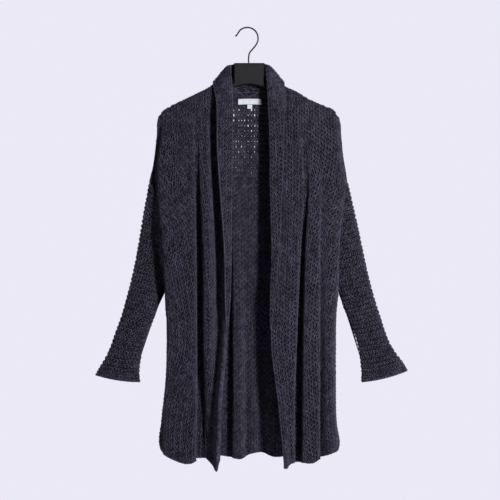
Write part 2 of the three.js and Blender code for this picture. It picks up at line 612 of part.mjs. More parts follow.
// Hanger block and arms from one outline
function hangerBody() {
  const armTop = (side, x) => {
    const fromNeck = Math.abs(x - side.neck[0]);
    const neckDrop = ARM_NECK_DROP * Math.max(0, 1 - fromNeck / ARM_NECK_REACH);
    return outlineZ(side.shoulder, x) - (WALL + ARM_CLEARANCE) / SHOULDER_OUT.z - neckDrop;
  };
  const armPlaces = (side) => {
    const tip = side.shoulder[side.shoulder.length - 1][0];
    const end = tip - side.sign * ARM_TIP_INSET;
    return Array.from({ length: ARM_STEPS + 1 }, (_, i) => mix(side.neck[0], end, i / ARM_STEPS));
  };
  const lower = (side, x) => {
    const places = armPlaces(side);
    const share = (x - places[0]) / (places[ARM_STEPS] - places[0]);
    return armTop(side, x) - mix(ARM_ROOT_HEIGHT, ARM_TIP_HEIGHT, share);
  };
  const shape = new THREE.Shape();
  shape.moveTo(BLOCK.left + BLOCK.corner, BLOCK.top);
  shape.lineTo(BLOCK.right - BLOCK.corner, BLOCK.top);
  shape.quadraticCurveTo(BLOCK.right, BLOCK.top, BLOCK.right, BLOCK.top - BLOCK.corner);
  shape.lineTo(BLOCK.right, ARM_ROOT_TOP);
  const leftPlaces = armPlaces(SIDES.left);
  leftPlaces.forEach((x) => shape.lineTo(x, armTop(SIDES.left, x)));
  leftPlaces.slice().reverse().forEach((x) => shape.lineTo(x, lower(SIDES.left, x)));
  shape.lineTo(BLOCK.right, BLOCK.foot);
  shape.quadraticCurveTo((BLOCK.left + BLOCK.right) / 2, 2 * BLOCK.arch - BLOCK.foot, BLOCK.left, BLOCK.foot);
  const rightPlaces = armPlaces(SIDES.right);
  rightPlaces.forEach((x) => shape.lineTo(x, lower(SIDES.right, x)));
  rightPlaces.slice().reverse().forEach((x) => shape.lineTo(x, armTop(SIDES.right, x)));
  shape.lineTo(BLOCK.left, ARM_ROOT_TOP);
  shape.lineTo(BLOCK.left, BLOCK.top - BLOCK.corner);
  shape.quadraticCurveTo(BLOCK.left, BLOCK.top, BLOCK.left + BLOCK.corner, BLOCK.top);
  const geometry = new THREE.ExtrudeGeometry(shape, {
    depth: HANGER_THICKNESS - 2 * HANGER_BEVEL,
    bevelEnabled: true,
    bevelThickness: HANGER_BEVEL,
    bevelSize: HANGER_BEVEL,
    bevelOffset: -HANGER_BEVEL,
    bevelSegments: 1,
    curveSegments: 4,
  });
  geometry.rotateX(Math.PI / 2);
  geometry.translate(0, HANGER_THICKNESS / 2 - HANGER_BEVEL, 0);
  return geometry;
}

// Wire hook: straight stem, a bend out to the side, and an arc over the origin to its tip
function hangerHook() {
  const radius = HOOK_INNER_RADIUS + WIRE_RADIUS;
  const arcPoint = (degrees) => {
    const angle = THREE.MathUtils.degToRad(degrees);
    return vector(radius * Math.cos(angle), 0, -HOOK_INNER_RADIUS + radius * Math.sin(angle));
  };
  const points = [
    vector(STEM_X, 0, BLOCK.top + SEAM_GAP),
    vector(STEM_X, 0, -66),
    vector(STEM_X + 1.5, 0, -57),
    vector(STEM_X + 9, 0, -47.5),
    vector(STEM_X + 16, 0, -39),
  ];
  for (let degrees = -15; degrees <= 160; degrees += 25) points.push(arcPoint(degrees));
  points.push(vector(-27, 0, -19));
  const path = new THREE.CatmullRomCurve3(points, false, 'centripetal');
  const section = new THREE.Shape();
  section.absarc(0, 0, WIRE_RADIUS, 0, 2 * Math.PI, false);
  return new THREE.ExtrudeGeometry(section, { steps: 34, extrudePath: path, curveSegments: 4 });
}

const frontRight = frontPanel(SIDES.right, FRONT_RIGHT_FOLDS);
const frontLeft = frontPanel(SIDES.left, FRONT_LEFT_FOLDS);
const back = backPanel();

const cardigan = new THREE.Group();
cardigan.add(
  namedMesh('back', wallGeometry(back.outer, back.inner), KNIT),
  namedMesh('front_right', wallGeometry(frontRight.outer, frontRight.inner), KNIT),
  namedMesh('front_left', wallGeometry(frontLeft.outer, frontLeft.inner), KNIT),
  namedMesh('sleeve_right', sleeve(SIDES.right, SLEEVE_RIGHT), KNIT),
  namedMesh('sleeve_left', sleeve(SIDES.left, SLEEVE_LEFT), KNIT),
  namedMesh('collar_right', collarHalf(SIDES.right, COLLAR_RIGHT, frontRight, back), KNIT),
  namedMesh('collar_left', collarHalf(SIDES.left, COLLAR_LEFT, frontLeft, back), KNIT),
  namedMesh('neck_label', tape(LABEL, back), TAPE),
  namedMesh('size_tab', tape(SIZE_TAB, back), TAPE),
  namedMesh('hanger_body', hangerBody(), BLACK_PLASTIC),
  namedMesh('hanger_hook', hangerHook(), BLACK_WIRE),
);

export default cardigan;
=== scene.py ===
# An open cardigan of chunky dark knit with a shawl collar, hanging on a plain black hanger.
# The cloth is built round the imported solids: each panel is a thin dark ground, painted shade in the gaps
# between stitches, with its yarn looped through it.
# Tables are in millimetres, as in the part's source. Everything that is made from them is in metres.

import math

import bpy
import numpy as np
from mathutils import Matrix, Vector


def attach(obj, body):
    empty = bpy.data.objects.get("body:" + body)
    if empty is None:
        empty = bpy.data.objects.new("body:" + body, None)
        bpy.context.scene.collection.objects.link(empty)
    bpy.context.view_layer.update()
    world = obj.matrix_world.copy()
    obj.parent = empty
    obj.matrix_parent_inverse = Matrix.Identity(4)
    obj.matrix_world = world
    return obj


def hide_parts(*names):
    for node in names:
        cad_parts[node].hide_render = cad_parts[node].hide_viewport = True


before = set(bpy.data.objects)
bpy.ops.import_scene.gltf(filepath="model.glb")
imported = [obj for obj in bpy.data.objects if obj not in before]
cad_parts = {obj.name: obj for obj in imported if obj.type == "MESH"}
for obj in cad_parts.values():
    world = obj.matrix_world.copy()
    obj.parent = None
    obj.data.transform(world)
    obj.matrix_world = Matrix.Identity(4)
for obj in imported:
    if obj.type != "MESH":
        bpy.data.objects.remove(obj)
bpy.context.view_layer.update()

MM = 0.001
SEED = 20261


def table(columns, *rows):
    """A table's rows as dictionaries. A row may leave out its last values."""
    return [dict(zip(columns.split(), row)) for row in rows]


# Colours, linear
YARN_COLOUR = (0.056, 0.052, 0.083)
# The edge yarn is a little lighter than the body yarn: a twisted edge yarn, and partly a painted highlight
# of the lit free edges.
EDGE_YARN_AND_HIGHLIGHT_COLOUR = (0.064, 0.060, 0.092)
# The ground sheets are near black, painted shade in the gaps between stitches; the back's inner ground is a
# little less dark.
GROUND_SHADE_COLOUR = (0.004, 0.0037, 0.0055)
INSIDE_SHADE_COLOUR = (0.016, 0.0148, 0.022)
TAPE_COLOUR = (0.86, 0.89, 0.95)
PLASTIC_COLOUR = (0.010, 0.0104, 0.0118)
WIRE_COLOUR = (0.012, 0.012, 0.013)
BACKDROP_COLOUR = (0.831, 0.815, 0.921)
AMBIENT = 0.055
AMBIENT_COLOUR = (0.86, 0.86, 1.0)
LIGHTS = table(
    "name direction distance size power colour",
    ("key", (0.39, -0.90, 0.26), 2.2, 0.33, 45, (1.0, 0.98, 1.0)),
    ("fill", (-0.8, -0.55, 0.2), 3.0, 1.6, 3, (0.95, 0.96, 1.0)),
    ("back_right", (-0.45, 0.86, 0.25), 4.0, 1.4, 66, (1.0, 0.99, 1.0)),
    ("back_left", (0.45, 0.86, 0.25), 4.0, 1.4, 44, (1.0, 0.99, 1.0)),
)
FLOOR_RADIUS = 1.6
FLOOR_HEIGHT = -1.25
FLOOR_SIDES = 64
FLOOR_COLOUR = (0.72, 0.71, 0.78)
FLOOR_SPREAD = 0.02

# Spread of each material's colour, and its noise in lumps to the metre
YARN_SPREAD = 0.62
YARN_LUMPS = (70, 240)
NAP_LUMPS = 1500
TAPE_THREADS = 520

# Photograph's frame
FRAME_MM = 1135.0
FRAME_CENTRE = (6.1, -503.5)
CAMERA_DISTANCE = 12.0
SENSOR_MM = 36.0

# Cloth
WALL = 3.0
SEAM_GAP = 0.3
SHOULDER_ROUND = 22.0
ARMHOLE_HALF_DEPTH = 27
FRONT = -1
BACK = 1

# Knit: width of a stitch (wale), height of a row, height of the closer rows at an edge, and the yarn.
# Rows up to a height are staggered: every other stitch stands higher by a share of the row.
WALE = 7.1
ROW = 9.9
BACK_WALE = 7.8
BACK_ROW = 11.9
SLEEVE_WALE = 7.4
SLEEVE_ROW = 10.2
STAGGER = 0.25
EDGE_ROW = 6.2
HEM_EDGE_ROWS = 2
CUFF_EDGE_ROWS = 3
YARN_RADIUS = 1.15
YARN_SIDES = 3
LOOP_DEPTH = 1.2

# How uneven the stitches are, as shares of a stitch, with the lengths of the slow waves in lean and swell.
# A stitch is made where it has the least room, a share of its row, under the top of the cloth.
LOOSE = 0.07
LOOSE_UP = 0.7
STITCH_SHIFT = 0.06
STITCH_LEAN = 0.12
LEAN = 0.4
LEAN_FOOT = 0.2
LEAN_LENGTHS = (55, 90, 140, 210)
SWELL = 0.1
SWELL_LENGTHS = (31, 47, 120)
LEAST_ROOM = 0.4

# Ground sheet, dark as painted shade between the stitches, and the two twisted yarns of the edges
GROUND_WALL = 0.6
GROUND_PAST_EDGE = 1.2
GROUND_UNDER_ARMHOLE = 6.0
MERGES_TO_THE_METRE = 1e5
EDGE_YARN_RADIUS = 1.25
SEAM_YARN_RADIUS = 1.1
ROPE_PITCH = 9.0
ROPE_STEP = 1.9
ROPE_TWIST = 0.8

# Heights at which the fold tables give their places
FOLD_LEVELS = [-190, -345, -503, -708, -844, -985]

# Each side of the body: sign along X, then its outline as points [x, z]
SIDES = {
    "right": {
        "sign": -1,
        "shoulder": [(-57, -120), (-78, -130), (-98, -140), (-133, -157),
                     (-156, -168), (-177, -178), (-193, -189), (-201, -200)],
        "upper_arm": [(-201, -200), (-205, -214), (-205, -233), (-207, -257),
                      (-212, -299), (-217, -326), (-223, -351)],
        "side": [(-185, -594), (-183, -642), (-183, -735), (-185, -794),
                 (-190, -844), (-196, -898), (-201, -938), (-197, -957)],
        "armhole_tuck": 9,
        "front_tuck": {"share": [0, 0.16, 0.30, 0.58, 0.80, 1], "tuck": [0, 14, 12, 6, 3, 0]},
    },
    "left": {
        "sign": 1,
        "shoulder": [(63, -120), (86, -132), (114, -145), (135, -158),
                     (159, -170), (183, -179), (201, -190), (208, -203)],
        "upper_arm": [(208, -203), (212, -219), (213, -239), (215, -262),
                      (218, -291), (223, -320), (227, -347)],
        "side": [(207, -601), (202, -650), (201, -735), (201, -794),
                 (201, -844), (203, -898), (210, -938), (207, -957)],
        "armhole_tuck": 6,
    },
}
for side in SIDES.values():
    side["neck"] = side["shoulder"][0]
    side["sleeve_top"] = side["upper_arm"][-1]
    side["underarm"] = side["side"][0]

# Fold lines of each panel from its side to its other edge.
# x and y are at FOLD_LEVELS and hem is the height of the hem there. An open fold starts at the neck line.
FRONT_RIGHT_FOLDS = table(
    "name x y hem",
    ("arm fold", [-192, -209, -191, -181, -186, -192], [10, 5, 30, 24, 24, 24], -964),
    ("side turn", [-186, -200, -189, -178, -184, -189], [13, 34, 48, 44, 42, 43], -967),
    ("column side", [-172, -180, -168, -164, -168, -172], [16, 34, 50, 50, 52, 52], -976),
    ("column middle", [-145, -142, -138, -138, -138, -139], [20, 34, 52, 55, 57, 55], -987),
    ("column lip", [-124, -121, -118, -117, -117, -120], [19, 33, 49, 53, 54, 53], -984),
    ("long valley", [-120, -120, -118, -117, -116, -117], [18, 17, 7, 3, 2, 2], -976),
    ("ridge foot", [-111, -109, -103, -100, -98, -98], [18, 19, 8, 3, 2, 2], -975),
    ("ridge lip", [-108, -106, -99, -97, -95, -95], [18, 32, 43, 45, 20, 7], -975),
    ("long ridge", [-92, -91, -87, -86, -86, -88], [18, 38, 49, 50, 28, 12], -982),
    ("gap by the collar", [-77, -73, -65, -64, -76, -79], [13, 9, 8, 18, 24, 26], -992),
    ("band", [-67, -62, -54, -54, -65, -70], [14, 20, 27, 54, 63, 62], -1003),
    ("front edge", [-57, -51, -46, -46, -57, -62], [18, 28, 36, 54, 62, 61], -978),
)
FRONT_LEFT_FOLDS = table(
    "name x y hem",
    ("side turn", [196, 210, 205, 195, 195, 201], [12, 28, 42, 38, 40, 42], -961),
    ("outer ridge", [174, 187, 185, 183, 183, 186], [16, 34, 47, 48, 49, 48], -966),
    ("thin valley", [154, 168, 165, 164, 163, 163], [19, 31, 30, 23, 17, 15], -973),
    ("middle lip", [148, 163, 162, 161, 161, 161], [20, 35, 46, 49, 51, 50], -979),
    ("middle ridge", [138, 152, 149, 147, 147, 147], [20, 36, 48, 51, 53, 51], -986),
    ("ridge lip", [127, 141, 134, 129, 128, 127], [20, 34, 43, 46, 48, 47], -985),
    ("ridge foot", [124, 138, 130, 125, 124, 123], [20, 24, 9, 3, 2, 2], -985),
    ("long valley", [117, 128, 118, 109, 105, 105], [20, 22, 8, 3, 2, 2], -984),
    ("column lip", [112, 126, 118, 109, 105, 105], [20, 33, 45, 50, 52, 52], -985),
    ("inner ridge", [98, 104, 98, 90, 91, 96], [18, 34, 46, 51, 55, 55], -989),
    ("under the collar", [80, 82, 76, 68, 81, 90], [15, 28, 34, 51, 59, 60], -998),
    ("front edge", [63, 63, 62, 54, 69, 83], [18, 27, 33, 51, 58, 59], -997),
)
BACK_FOLDS = table(
    "name x y hem open",
    ("right turn", [-190, -207, -189, -177, -182, -189], [11, 24, 33, 34, 37, 39], -962),
    ("right ridge", [-160, -166, -156, -152, -154, -158], [15, 28, 43, 48, 53, 57], -966),
    ("right valley", [-118, -124, -120, -118, -120, -122], [16, 25, 31, 29, 27, 25], -964),
    ("right neck fold", [-57, -80, -84, -84, -84, -86], [17, 29, 41, 46, 50, 54], -968),
    ("collar fold", [-38, -42, -45, -46, -46, -46], [20, 29, 38, 55, 62, 63], -974, True),
    ("fold foot", [-33, -36, -35, -33, -33, -33], [21, 29, 38, 55, 62, 63], -976, True),
    ("column lip", [-27, -29, -29, -29, -29, -29], [22, 28, 31, 29, 27, 27], -977, True),
    ("lit column", [-15, -18, -18, -17, -17, -17], [24, 28, 30, 27, 25, 25], -979, True),
    ("centre fold", [-2, -2, -3, -3, -2, -1], [24, 30, 36, 41, 44, 46], -971, True),
    ("second column", [20, 15, 13, 13, 13, 13], [24, 29, 34, 37, 36, 36], -966, True),
    ("shadow fold", [43, 38, 36, 36, 35, 35], [20, 30, 40, 48, 51, 53], -964, True),
    ("left neck ridge", [63, 66, 64, 60, 61, 62], [17, 27, 34, 37, 36, 35], -974),
    ("left fold", [96, 100, 98, 96, 96, 98], [17, 28, 42, 50, 54, 58], -971),
    ("left valley", [130, 134, 132, 130, 130, 132], [16, 26, 35, 36, 34, 32], -966),
    ("left ridge", [164, 171, 168, 165, 166, 170], [14, 27, 43, 48, 53, 56], -965),
    ("left turn", [192, 210, 205, 194, 195, 201], [11, 24, 34, 36, 38, 40], -961),
)
BACK_NECK_DEPTH = 36
BACK_HEM = -968
CENTRE_BACK_FOLD = 8

# The shawl collar by stations: at is 0 at the centre back, 1 at the shoulder seam, then 1 more for each
# 100 mm below it. roll is where the collar turns over and free is its loose edge, both [x, y, z].
COLLAR_RIGHT = table(
    "at roll free",
    (0, [-2, 31, -81], [-2, 43, -148]),
    (0.5, [-25, 28, -81], [-36, 42, -146]),
    (1, [-39, 4, -84], [-77, 0, -120]),
    (1.2, [-38, -18, -93], [-76, -21, -138]),
    (1.45, [-35, -33, -124], [-71, -37, -164]),
    (1.8, [-33, -40, -180], [-69, -48, -200]),
    (2.6, [-33, -42, -276], [-68, -52, -280]),
    (3.7, [-34, -44, -390], [-60, -56, -390]),
    (4.8, [-35, -48, -500], [-52, -60, -500]),
    (5.9, [-37, -55, -610], [-50, -64, -610]),
    (6.8, [-41, -59, -700], [-52, -66, -700]),
)
COLLAR_LEFT = table(
    "at roll free",
    (0, [-2, 31, -81], [-2, 43, -148]),
    (0.5, [26, 28, -80], [38, 42, -146]),
    (1, [44, 4, -83], [83, 0, -121]),
    (1.2, [43, -12, -92], [84, -19, -140]),
    (1.45, [45, -24, -124], [86, -33, -166]),
    (1.8, [47, -33, -180], [84, -40, -200]),
    (2.6, [50, -40, -276], [83, -42, -280]),
    (3.7, [51, -42, -390], [79, -46, -390]),
    (4.8, [54, -46, -500], [73, -50, -500]),
    (5.9, [51, -54, -610], [64, -60, -610]),
    (6.8, [45, -59, -700], [57, -66, -700]),
)
COLLAR_STATION = 100.0
COLLAR_PAST_SHOULDER = 1.02
COLLAR_END = 6.65
COLLAR_TAPER = 0.75
COLLAR_TIP = 0.15
COLLAR_TAPER_POWER = 0.7
COLLAR_EASING = 4
COLLAR_ROWS = 220
ROLL_RADIUS = 5.0
ROLL_SHARE = 0.35
COLLAR_SEAM_GAP = 0.6

# Sleeves by stations from armhole to cuff: outer and inner edge [x, z], half depth to the front and back, y
SLEEVE_RIGHT = table(
    "outer inner front back y",
    ([-232, -402], [-187, -598], 1, 28, 0),
    ([-240, -448], [-190, -603], 1, 28, 0),
    ([-250, -505], [-194, -611], 6, 28, -1),
    ([-261, -562], [-200, -625], 15, 27, -2),
    ([-273, -609], [-208, -646], 23, 26, -3),
    ([-286, -655], [-219, -677], 26, 25, -4),
    ([-299, -690], [-229, -702], 25, 24, -5),
    ([-309, -720], [-238, -731], 24, 23, -6),
    ([-322, -748], [-243, -759], 23, 22, -7),
    ([-334, -768], [-245, -781], 23, 22, -7),
    ([-345, -787], [-243, -803], 23, 22, -7),
)
SLEEVE_LEFT = table(
    "outer inner front back y",
    ([239, -399], [208.5, -604], 30, 28, 0),
    ([250, -447], [210.5, -608], 31, 28, 0),
    ([262, -504], [213, -615], 31, 28, -1),
    ([274, -560], [217, -629], 30, 27, -2),
    ([287, -609], [226, -651], 28, 26, -3),
    ([300, -650], [239, -680], 26, 25, -4),
    ([311, -684], [248, -706], 25, 24, -5),
    ([322, -713], [254, -735], 24, 23, -6),
    ([337, -738], [257, -758], 23, 22, -7),
    ([352, -757], [259, -780], 23, 22, -7),
    ([364, -777], [259, -803], 23, 22, -7),
)
CUFF_DIP = 4
SLEEVE_COLUMNS = 121
TUCK_STATIONS = 4

# Gaps between stitches that the light comes through on the upper back
GAPS_TOP = -182
GAPS_END = -318
GAPS_LAST = -356
GAPS_LAST_CHANCE = 0.12
GAPS_MOST = 0.9
GAPS_SIDES = (-45, 28)
GAP_SIZES = (0.25, 0.75)
GAPS_SHRINK = 0.6
GAP_HALF_WIDTH = 0.24
GAP_FOOT = 0.45
GAP_HEAD = 1.1
SHUT_SIZE = 0.6

# Blank neck label and the small tab under it
LABEL = {"x": (-21, 32), "z": (-159.5, -172.5), "crown": 0.8, "flat": (0.055, 0.013)}
SIZE_TAB = {"x": (0, 11), "z": (-173, -182.5), "crown": 0.0, "flat": (0.011, 0.011)}
TAPE_STEPS = (27, 6)
TAPE_WALL = 0.6
TAPE_CLEAR = 3.4
TAPE_NEIGHBOURS = 6
LABEL_TURN = {"width": 4, "rise": 0.4}
TAB_BULGE = 1.2

# One stitch of yarn as points [across in stitch widths, up in rows, out in loop depths].
# It starts behind the cloth, rises as a leg on its face, sinks a little at its head and comes down again.

def loop(foot, *rise, head=()):
    fall = [[-across, up, out] for across, up, out in reversed(rise)]
    return np.array([foot, *rise, *head, *fall])


STITCH = loop([-0.50, 0.06, -0.6], [-0.20, 0.14, 0.5], [-0.40, 0.50, 1.3], [-0.26, 0.90, 0.9],
              head=[[0.00, 1.10, 0.3]])

# On the back the loops end behind the next row, so that its inside shows their heads between the rows
BACK_STITCH = loop([-0.50, 0.03, -0.9], [-0.22, 0.15, 0.0], [-0.36, 0.50, 0.3], [-0.34, 1.05, 0.0],
                   [-0.16, 1.48, -0.9])

# On the sleeves each row stands out as a ridge of round loops, with a furrow before the next
SLEEVE_STITCH = loop([-0.50, 0.12, -0.9], [-0.20, 0.16, 0.6], [-0.42, 0.46, 1.5], [-0.24, 0.80, 1.2],
                     head=[[0.00, 0.90, 0.5]])

# Steps of the dense surfaces, the reach of a hem's shape up the rows, and the steps of a cloth's own table
FOLD_STEPS = 10
ROW_STEPS = 150
SHOULDER_STEPS = 10
SHOULDER_SHARE = 0.03
HEM_REACH = 200.0
TABLE_ACROSS = 2.6
TABLE_UP = 3.1
WITHIN_TABLE = 1.001
FACING_UP = 0.2


# Curves and tables

def mix(a, b, share):
    return a + (b - a) * share


def unit(vectors):
    length = np.linalg.norm(vectors, axis=-1, keepdims=True)
    return vectors / np.maximum(length, 1e-12)


def smooth_value(places, values, at):
    """Smooth curve through values given at places that rise or fall steadily."""
    keys = np.asarray(places, float)
    values = np.asarray(values, float)
    at = np.asarray(at, float)
    if keys[0] > keys[-1]:
        keys, at = -keys, -at
    at = np.clip(at, keys[0], keys[-1])
    i = np.clip(np.searchsorted(keys, at, side="right") - 1, 0, len(keys) - 2)
    last = len(keys) - 1

    def extra(amount):
        return amount.reshape(amount.shape + (1,) * (values.ndim - 1))

    def slope(j):
        before, after = np.maximum(0, j - 1), np.minimum(last, j + 1)
        return (values[after] - values[before]) / extra(keys[after] - keys[before])

    span = keys[i + 1] - keys[i]
    t = extra((at - keys[i]) / span)
    span = extra(span)
    t2, t3 = t * t, t * t * t
    return ((2 * t3 - 3 * t2 + 1) * values[i] + (t3 - 2 * t2 + t) * span * slope(i)
            + (3 * t2 - 2 * t3) * values[i + 1] + (t3 - t2) * span * slope(i + 1))


def outline_x(points, z):
    return smooth_value([p[1] for p in points], [p[0] for p in points], z)


def outline_z(points, x):
    return smooth_value([p[0] for p in points], [p[1] for p in points], x)


def curve_through(points, steps):
    """Centripetal curves through rows of points, shape (rows, points, 3), with steps to each stretch."""
    count = points.shape[1]
    first = 2 * points[:, :1] - points[:, 1:2]
    last = 2 * points[:, -1:] - points[:, -2:-1]
    p = np.concatenate([first, points, last], axis=1)
    t = (np.arange(steps) / steps)[None, :, None]
    out = []
    for i in range(count - 1):
        a, b, c, d = (p[:, i + j][:, None] for j in range(4))
        gaps = [np.sqrt(np.linalg.norm(v, axis=-1, keepdims=True)) for v in (b - a, c - b, d - c)]
        before, here, after = (np.maximum(g, 1e-4) for g in gaps)
        start = ((b - a) / before - (c - a) / (before + here) + (c - b) / here) * here
        end = ((c - b) / here - (d - b) / (here + after) + (d - c) / after) * here
        out.append(b + start * t + (-3 * b + 3 * c - 2 * start - end) * t ** 2
                   + (2 * b - 2 * c + start + end) * t ** 3)
    out.append(points[:, -1:])
    return np.concatenate(out, axis=1)


def grid_normals(grid, toward):
    """Normals of a grid of points, on the side that the given directions point to."""
    across = np.gradient(grid, axis=1)
    down = np.gradient(grid, axis=0)
    normals = unit(np.cross(across, down))
    wrong = np.sum(normals * toward, axis=-1) < 0
    normals[wrong] *= -1
    return normals


# Panels as dense middle surfaces, rows from the top to the hem or cuff, in millimetres

def row_shares():
    near = SHOULDER_SHARE * (np.arange(SHOULDER_STEPS) / SHOULDER_STEPS) ** 2
    return np.concatenate([near, np.linspace(SHOULDER_SHARE, 1, ROW_STEPS)])


def armhole_points(side, face, angle):
    share = (1 - np.cos(angle)) / 2
    tuck = side["armhole_tuck"] * np.sin(angle) ** 2
    if "front_tuck" in side:
        over = smooth_value(side["front_tuck"]["share"], side["front_tuck"]["tuck"], share)
        tuck = np.where(face == FRONT, over, tuck)
    tuck = side["sign"] * tuck
    return np.stack([
        mix(side["sleeve_top"][0], side["underarm"][0], share) - tuck,
        face * ARMHOLE_HALF_DEPTH * np.sin(angle),
        mix(side["sleeve_top"][1], side["underarm"][1], share),
    ], axis=-1)


def side_edge(side, face, shares):
    """Outer edge of a body panel at shares of its drop from the shoulder tip to the hem."""
    z = mix(side["shoulder"][-1][1], side["side"][-1][1], shares)
    seam_y = np.full_like(z, face * SEAM_GAP / 2)
    top, bottom = side["sleeve_top"][1], side["underarm"][1]
    share = np.clip((z - top) / (bottom - top), 0, 1)
    armhole = armhole_points(side, face, np.arccos(1 - 2 * share))
    armhole[:, 1] = face * np.maximum(SEAM_GAP / 2, np.abs(armhole[:, 1]))
    above = np.stack([outline_x(side["upper_arm"], z), seam_y, z], axis=-1)
    below = np.stack([outline_x(side["side"], z), seam_y, z], axis=-1)
    return np.where((z > top)[:, None], above, np.where((z < bottom)[:, None], below, armhole))


def fold_top(fold):
    x = fold["x"][0]
    if not fold.get("open"):
        return float(outline_z(SIDES["right" if x < 0 else "left"]["shoulder"], x))
    middle = (SIDES["right"]["neck"][0] + SIDES["left"]["neck"][0]) / 2
    half = SIDES["left"]["neck"][0] - middle
    return SIDES["left"]["neck"][1] - BACK_NECK_DEPTH * math.cos(math.pi * (x - middle) / (2 * half)) ** 2


def fold_points(fold, face, shares):
    top = fold_top(fold)
    z = mix(top, fold["hem"], shares)
    near = np.minimum(1, (top - z) / SHOULDER_ROUND)
    rounding = 1 if fold.get("open") else np.sqrt(1 - (1 - near) ** 2)
    depth = smooth_value(FOLD_LEVELS, fold["y"], z) * rounding
    x = smooth_value(FOLD_LEVELS, fold["x"], z)
    return np.stack([x, face * np.maximum(SEAM_GAP / 2, depth), z], axis=-1)


def middle_surface(skin, toward):
    normals = grid_normals(skin, np.asarray(toward, float))
    return skin - normals * WALL / 2, normals


def body_surface(lines, face):
    """Middle surface of a body panel through its lines, kept on its own side of the seam plane."""
    skin = curve_through(np.stack(lines, axis=1), FOLD_STEPS)
    skin[..., 1] = face * np.maximum(SEAM_GAP / 2, face * skin[..., 1])
    return middle_surface(skin, (0, face, FACING_UP))


def front_surface(side, folds):
    shares = row_shares()
    lines = [side_edge(side, FRONT, shares)] + [fold_points(fold, FRONT, shares) for fold in folds]
    return body_surface(lines[::-1], FRONT)


def back_surface():
    shares = row_shares()
    lines = [side_edge(SIDES["right"], BACK, shares)]
    lines += [fold_points(fold, BACK, shares) for fold in BACK_FOLDS]
    lines += [side_edge(SIDES["left"], BACK, shares)]
    return body_surface(lines, BACK)


def sleeve_surface(side, stations):
    """A sleeve from the armhole to the cuff, columns from its under seam round the back, top and front."""
    angles = np.linspace(-math.pi, math.pi, SLEEVE_COLUMNS)
    face = np.where(angles >= 0, FRONT, BACK)
    first = armhole_points(side, face, np.abs(angles))
    share = (1 - np.cos(angles)) / 2
    rings = [first]
    for i, station in enumerate(stations):
        depth = np.where(np.sin(angles) > 0, station["front"], station["back"])
        fading = max(0, 1 - (i + 1) / TUCK_STATIONS)
        tuck = side["sign"] * side["armhole_tuck"] * fading * np.sin(angles) ** 2
        dip = CUFF_DIP * np.sin(angles) ** 2 if i == len(stations) - 1 else 0
        rings.append(np.stack([
            mix(station["outer"][0], station["inner"][0], share) - tuck,
            station["y"] - depth * np.sin(angles),
            mix(station["outer"][1], station["inner"][1], share) - dip,
        ], axis=-1))
    rings = np.array(rings)
    skin = smooth_value(np.arange(len(rings)), rings, np.linspace(0, len(rings) - 1, ROW_STEPS))
    axis = skin.mean(axis=1, keepdims=True)
    return middle_surface(skin, skin - axis)


def collar_seam(side, front, back):
    """The panel edge that a collar half is sewn to, from the centre back, on the wearer's side."""
    centre = (CENTRE_BACK_FOLD + 1) * FOLD_STEPS
    neck = next(i for i, fold in enumerate(BACK_FOLDS) if fold["x"][0] == side["neck"][0]) + 1
    columns = np.arange(centre, neck * FOLD_STEPS, side["sign"])
    inside = back[0] - back[1] * WALL / 2
    away = unit(inside[0] - inside[1])
    seam = [inside[0, columns] + away[columns] * COLLAR_SEAM_GAP]
    at = [(columns - centre) / (neck * FOLD_STEPS - centre)]
    inside = front[0] - front[1] * WALL / 2
    away = unit(inside[:, 0] - inside[:, 1])
    edge = inside[:, 0] + away * COLLAR_SEAM_GAP
    edge_at = 1 + (side["neck"][1] - edge[:, 2]) / COLLAR_STATION
    reach = (edge_at > COLLAR_PAST_SHOULDER) & (edge_at <= COLLAR_END)
    seam = np.concatenate([*seam, edge[reach]])
    at = np.concatenate([*at, edge_at[reach]])
    run = running_length(seam, 0)
    even = np.linspace(0, run[-1], COLLAR_ROWS)
    seam = np.stack([np.interp(even, run, seam[:, axis]) for axis in range(3)], axis=-1)
    seam[:, 0] += side["sign"] * SEAM_GAP * (np.arange(COLLAR_ROWS) == 0)
    return seam, np.interp(even, run, at)


def collar_surface(side, stations, front, back):
    """A collar half from the centre back to its taper, columns from its seam to its loose edge."""
    seam, at = collar_seam(side, front, back)
    places = [station["at"] for station in stations]
    roll = smooth_value(places, [station["roll"] for station in stations], at)
    free = smooth_value(places, [station["free"] for station in stations], at)
    roll[0, 0] = free[0, 0] = seam[0, 0]
    before_end = np.clip((COLLAR_END - at) / COLLAR_TAPER, 0, 1)
    taper = mix(COLLAR_TIP, 1, before_end ** COLLAR_TAPER_POWER)[:, None]
    roll, free = mix(seam, roll, taper), mix(seam, free, taper)
    to_seam, to_free = seam - roll, free - roll
    reach = np.minimum(np.linalg.norm(to_seam, axis=1), np.linalg.norm(to_free, axis=1))
    radius = np.minimum(ROLL_RADIUS, ROLL_SHARE * reach)[:, None]
    to_seam, to_free = unit(to_seam), unit(to_free)
    centre = roll + unit(to_seam + to_free) * radius
    aside = unit(to_seam - to_free) * radius
    skin = curve_through(np.stack([seam, centre + aside, roll, centre - aside, free], axis=1), FOLD_STEPS)
    across = np.gradient(skin, axis=1)
    down = np.gradient(skin, axis=0)
    normals = unit(-side["sign"] * np.cross(across, down))
    for turn in range(COLLAR_EASING):
        padded = np.pad(normals, ((1, 1), (0, 0), (0, 0)), mode="edge")
        normals = unit(padded[:-2] + 2 * normals + padded[2:])
    return skin - normals * WALL / 2, normals


# Cloth in flat coordinates: w across from its own line, d up from its hem or cuff

def running_length(points, axis):
    """Running length along an axis of a line or grid of points."""
    steps = np.linalg.norm(np.diff(points, axis=axis), axis=-1)
    return np.pad(np.cumsum(steps, axis=axis), [(int(i == axis), 0) for i in range(steps.ndim)])


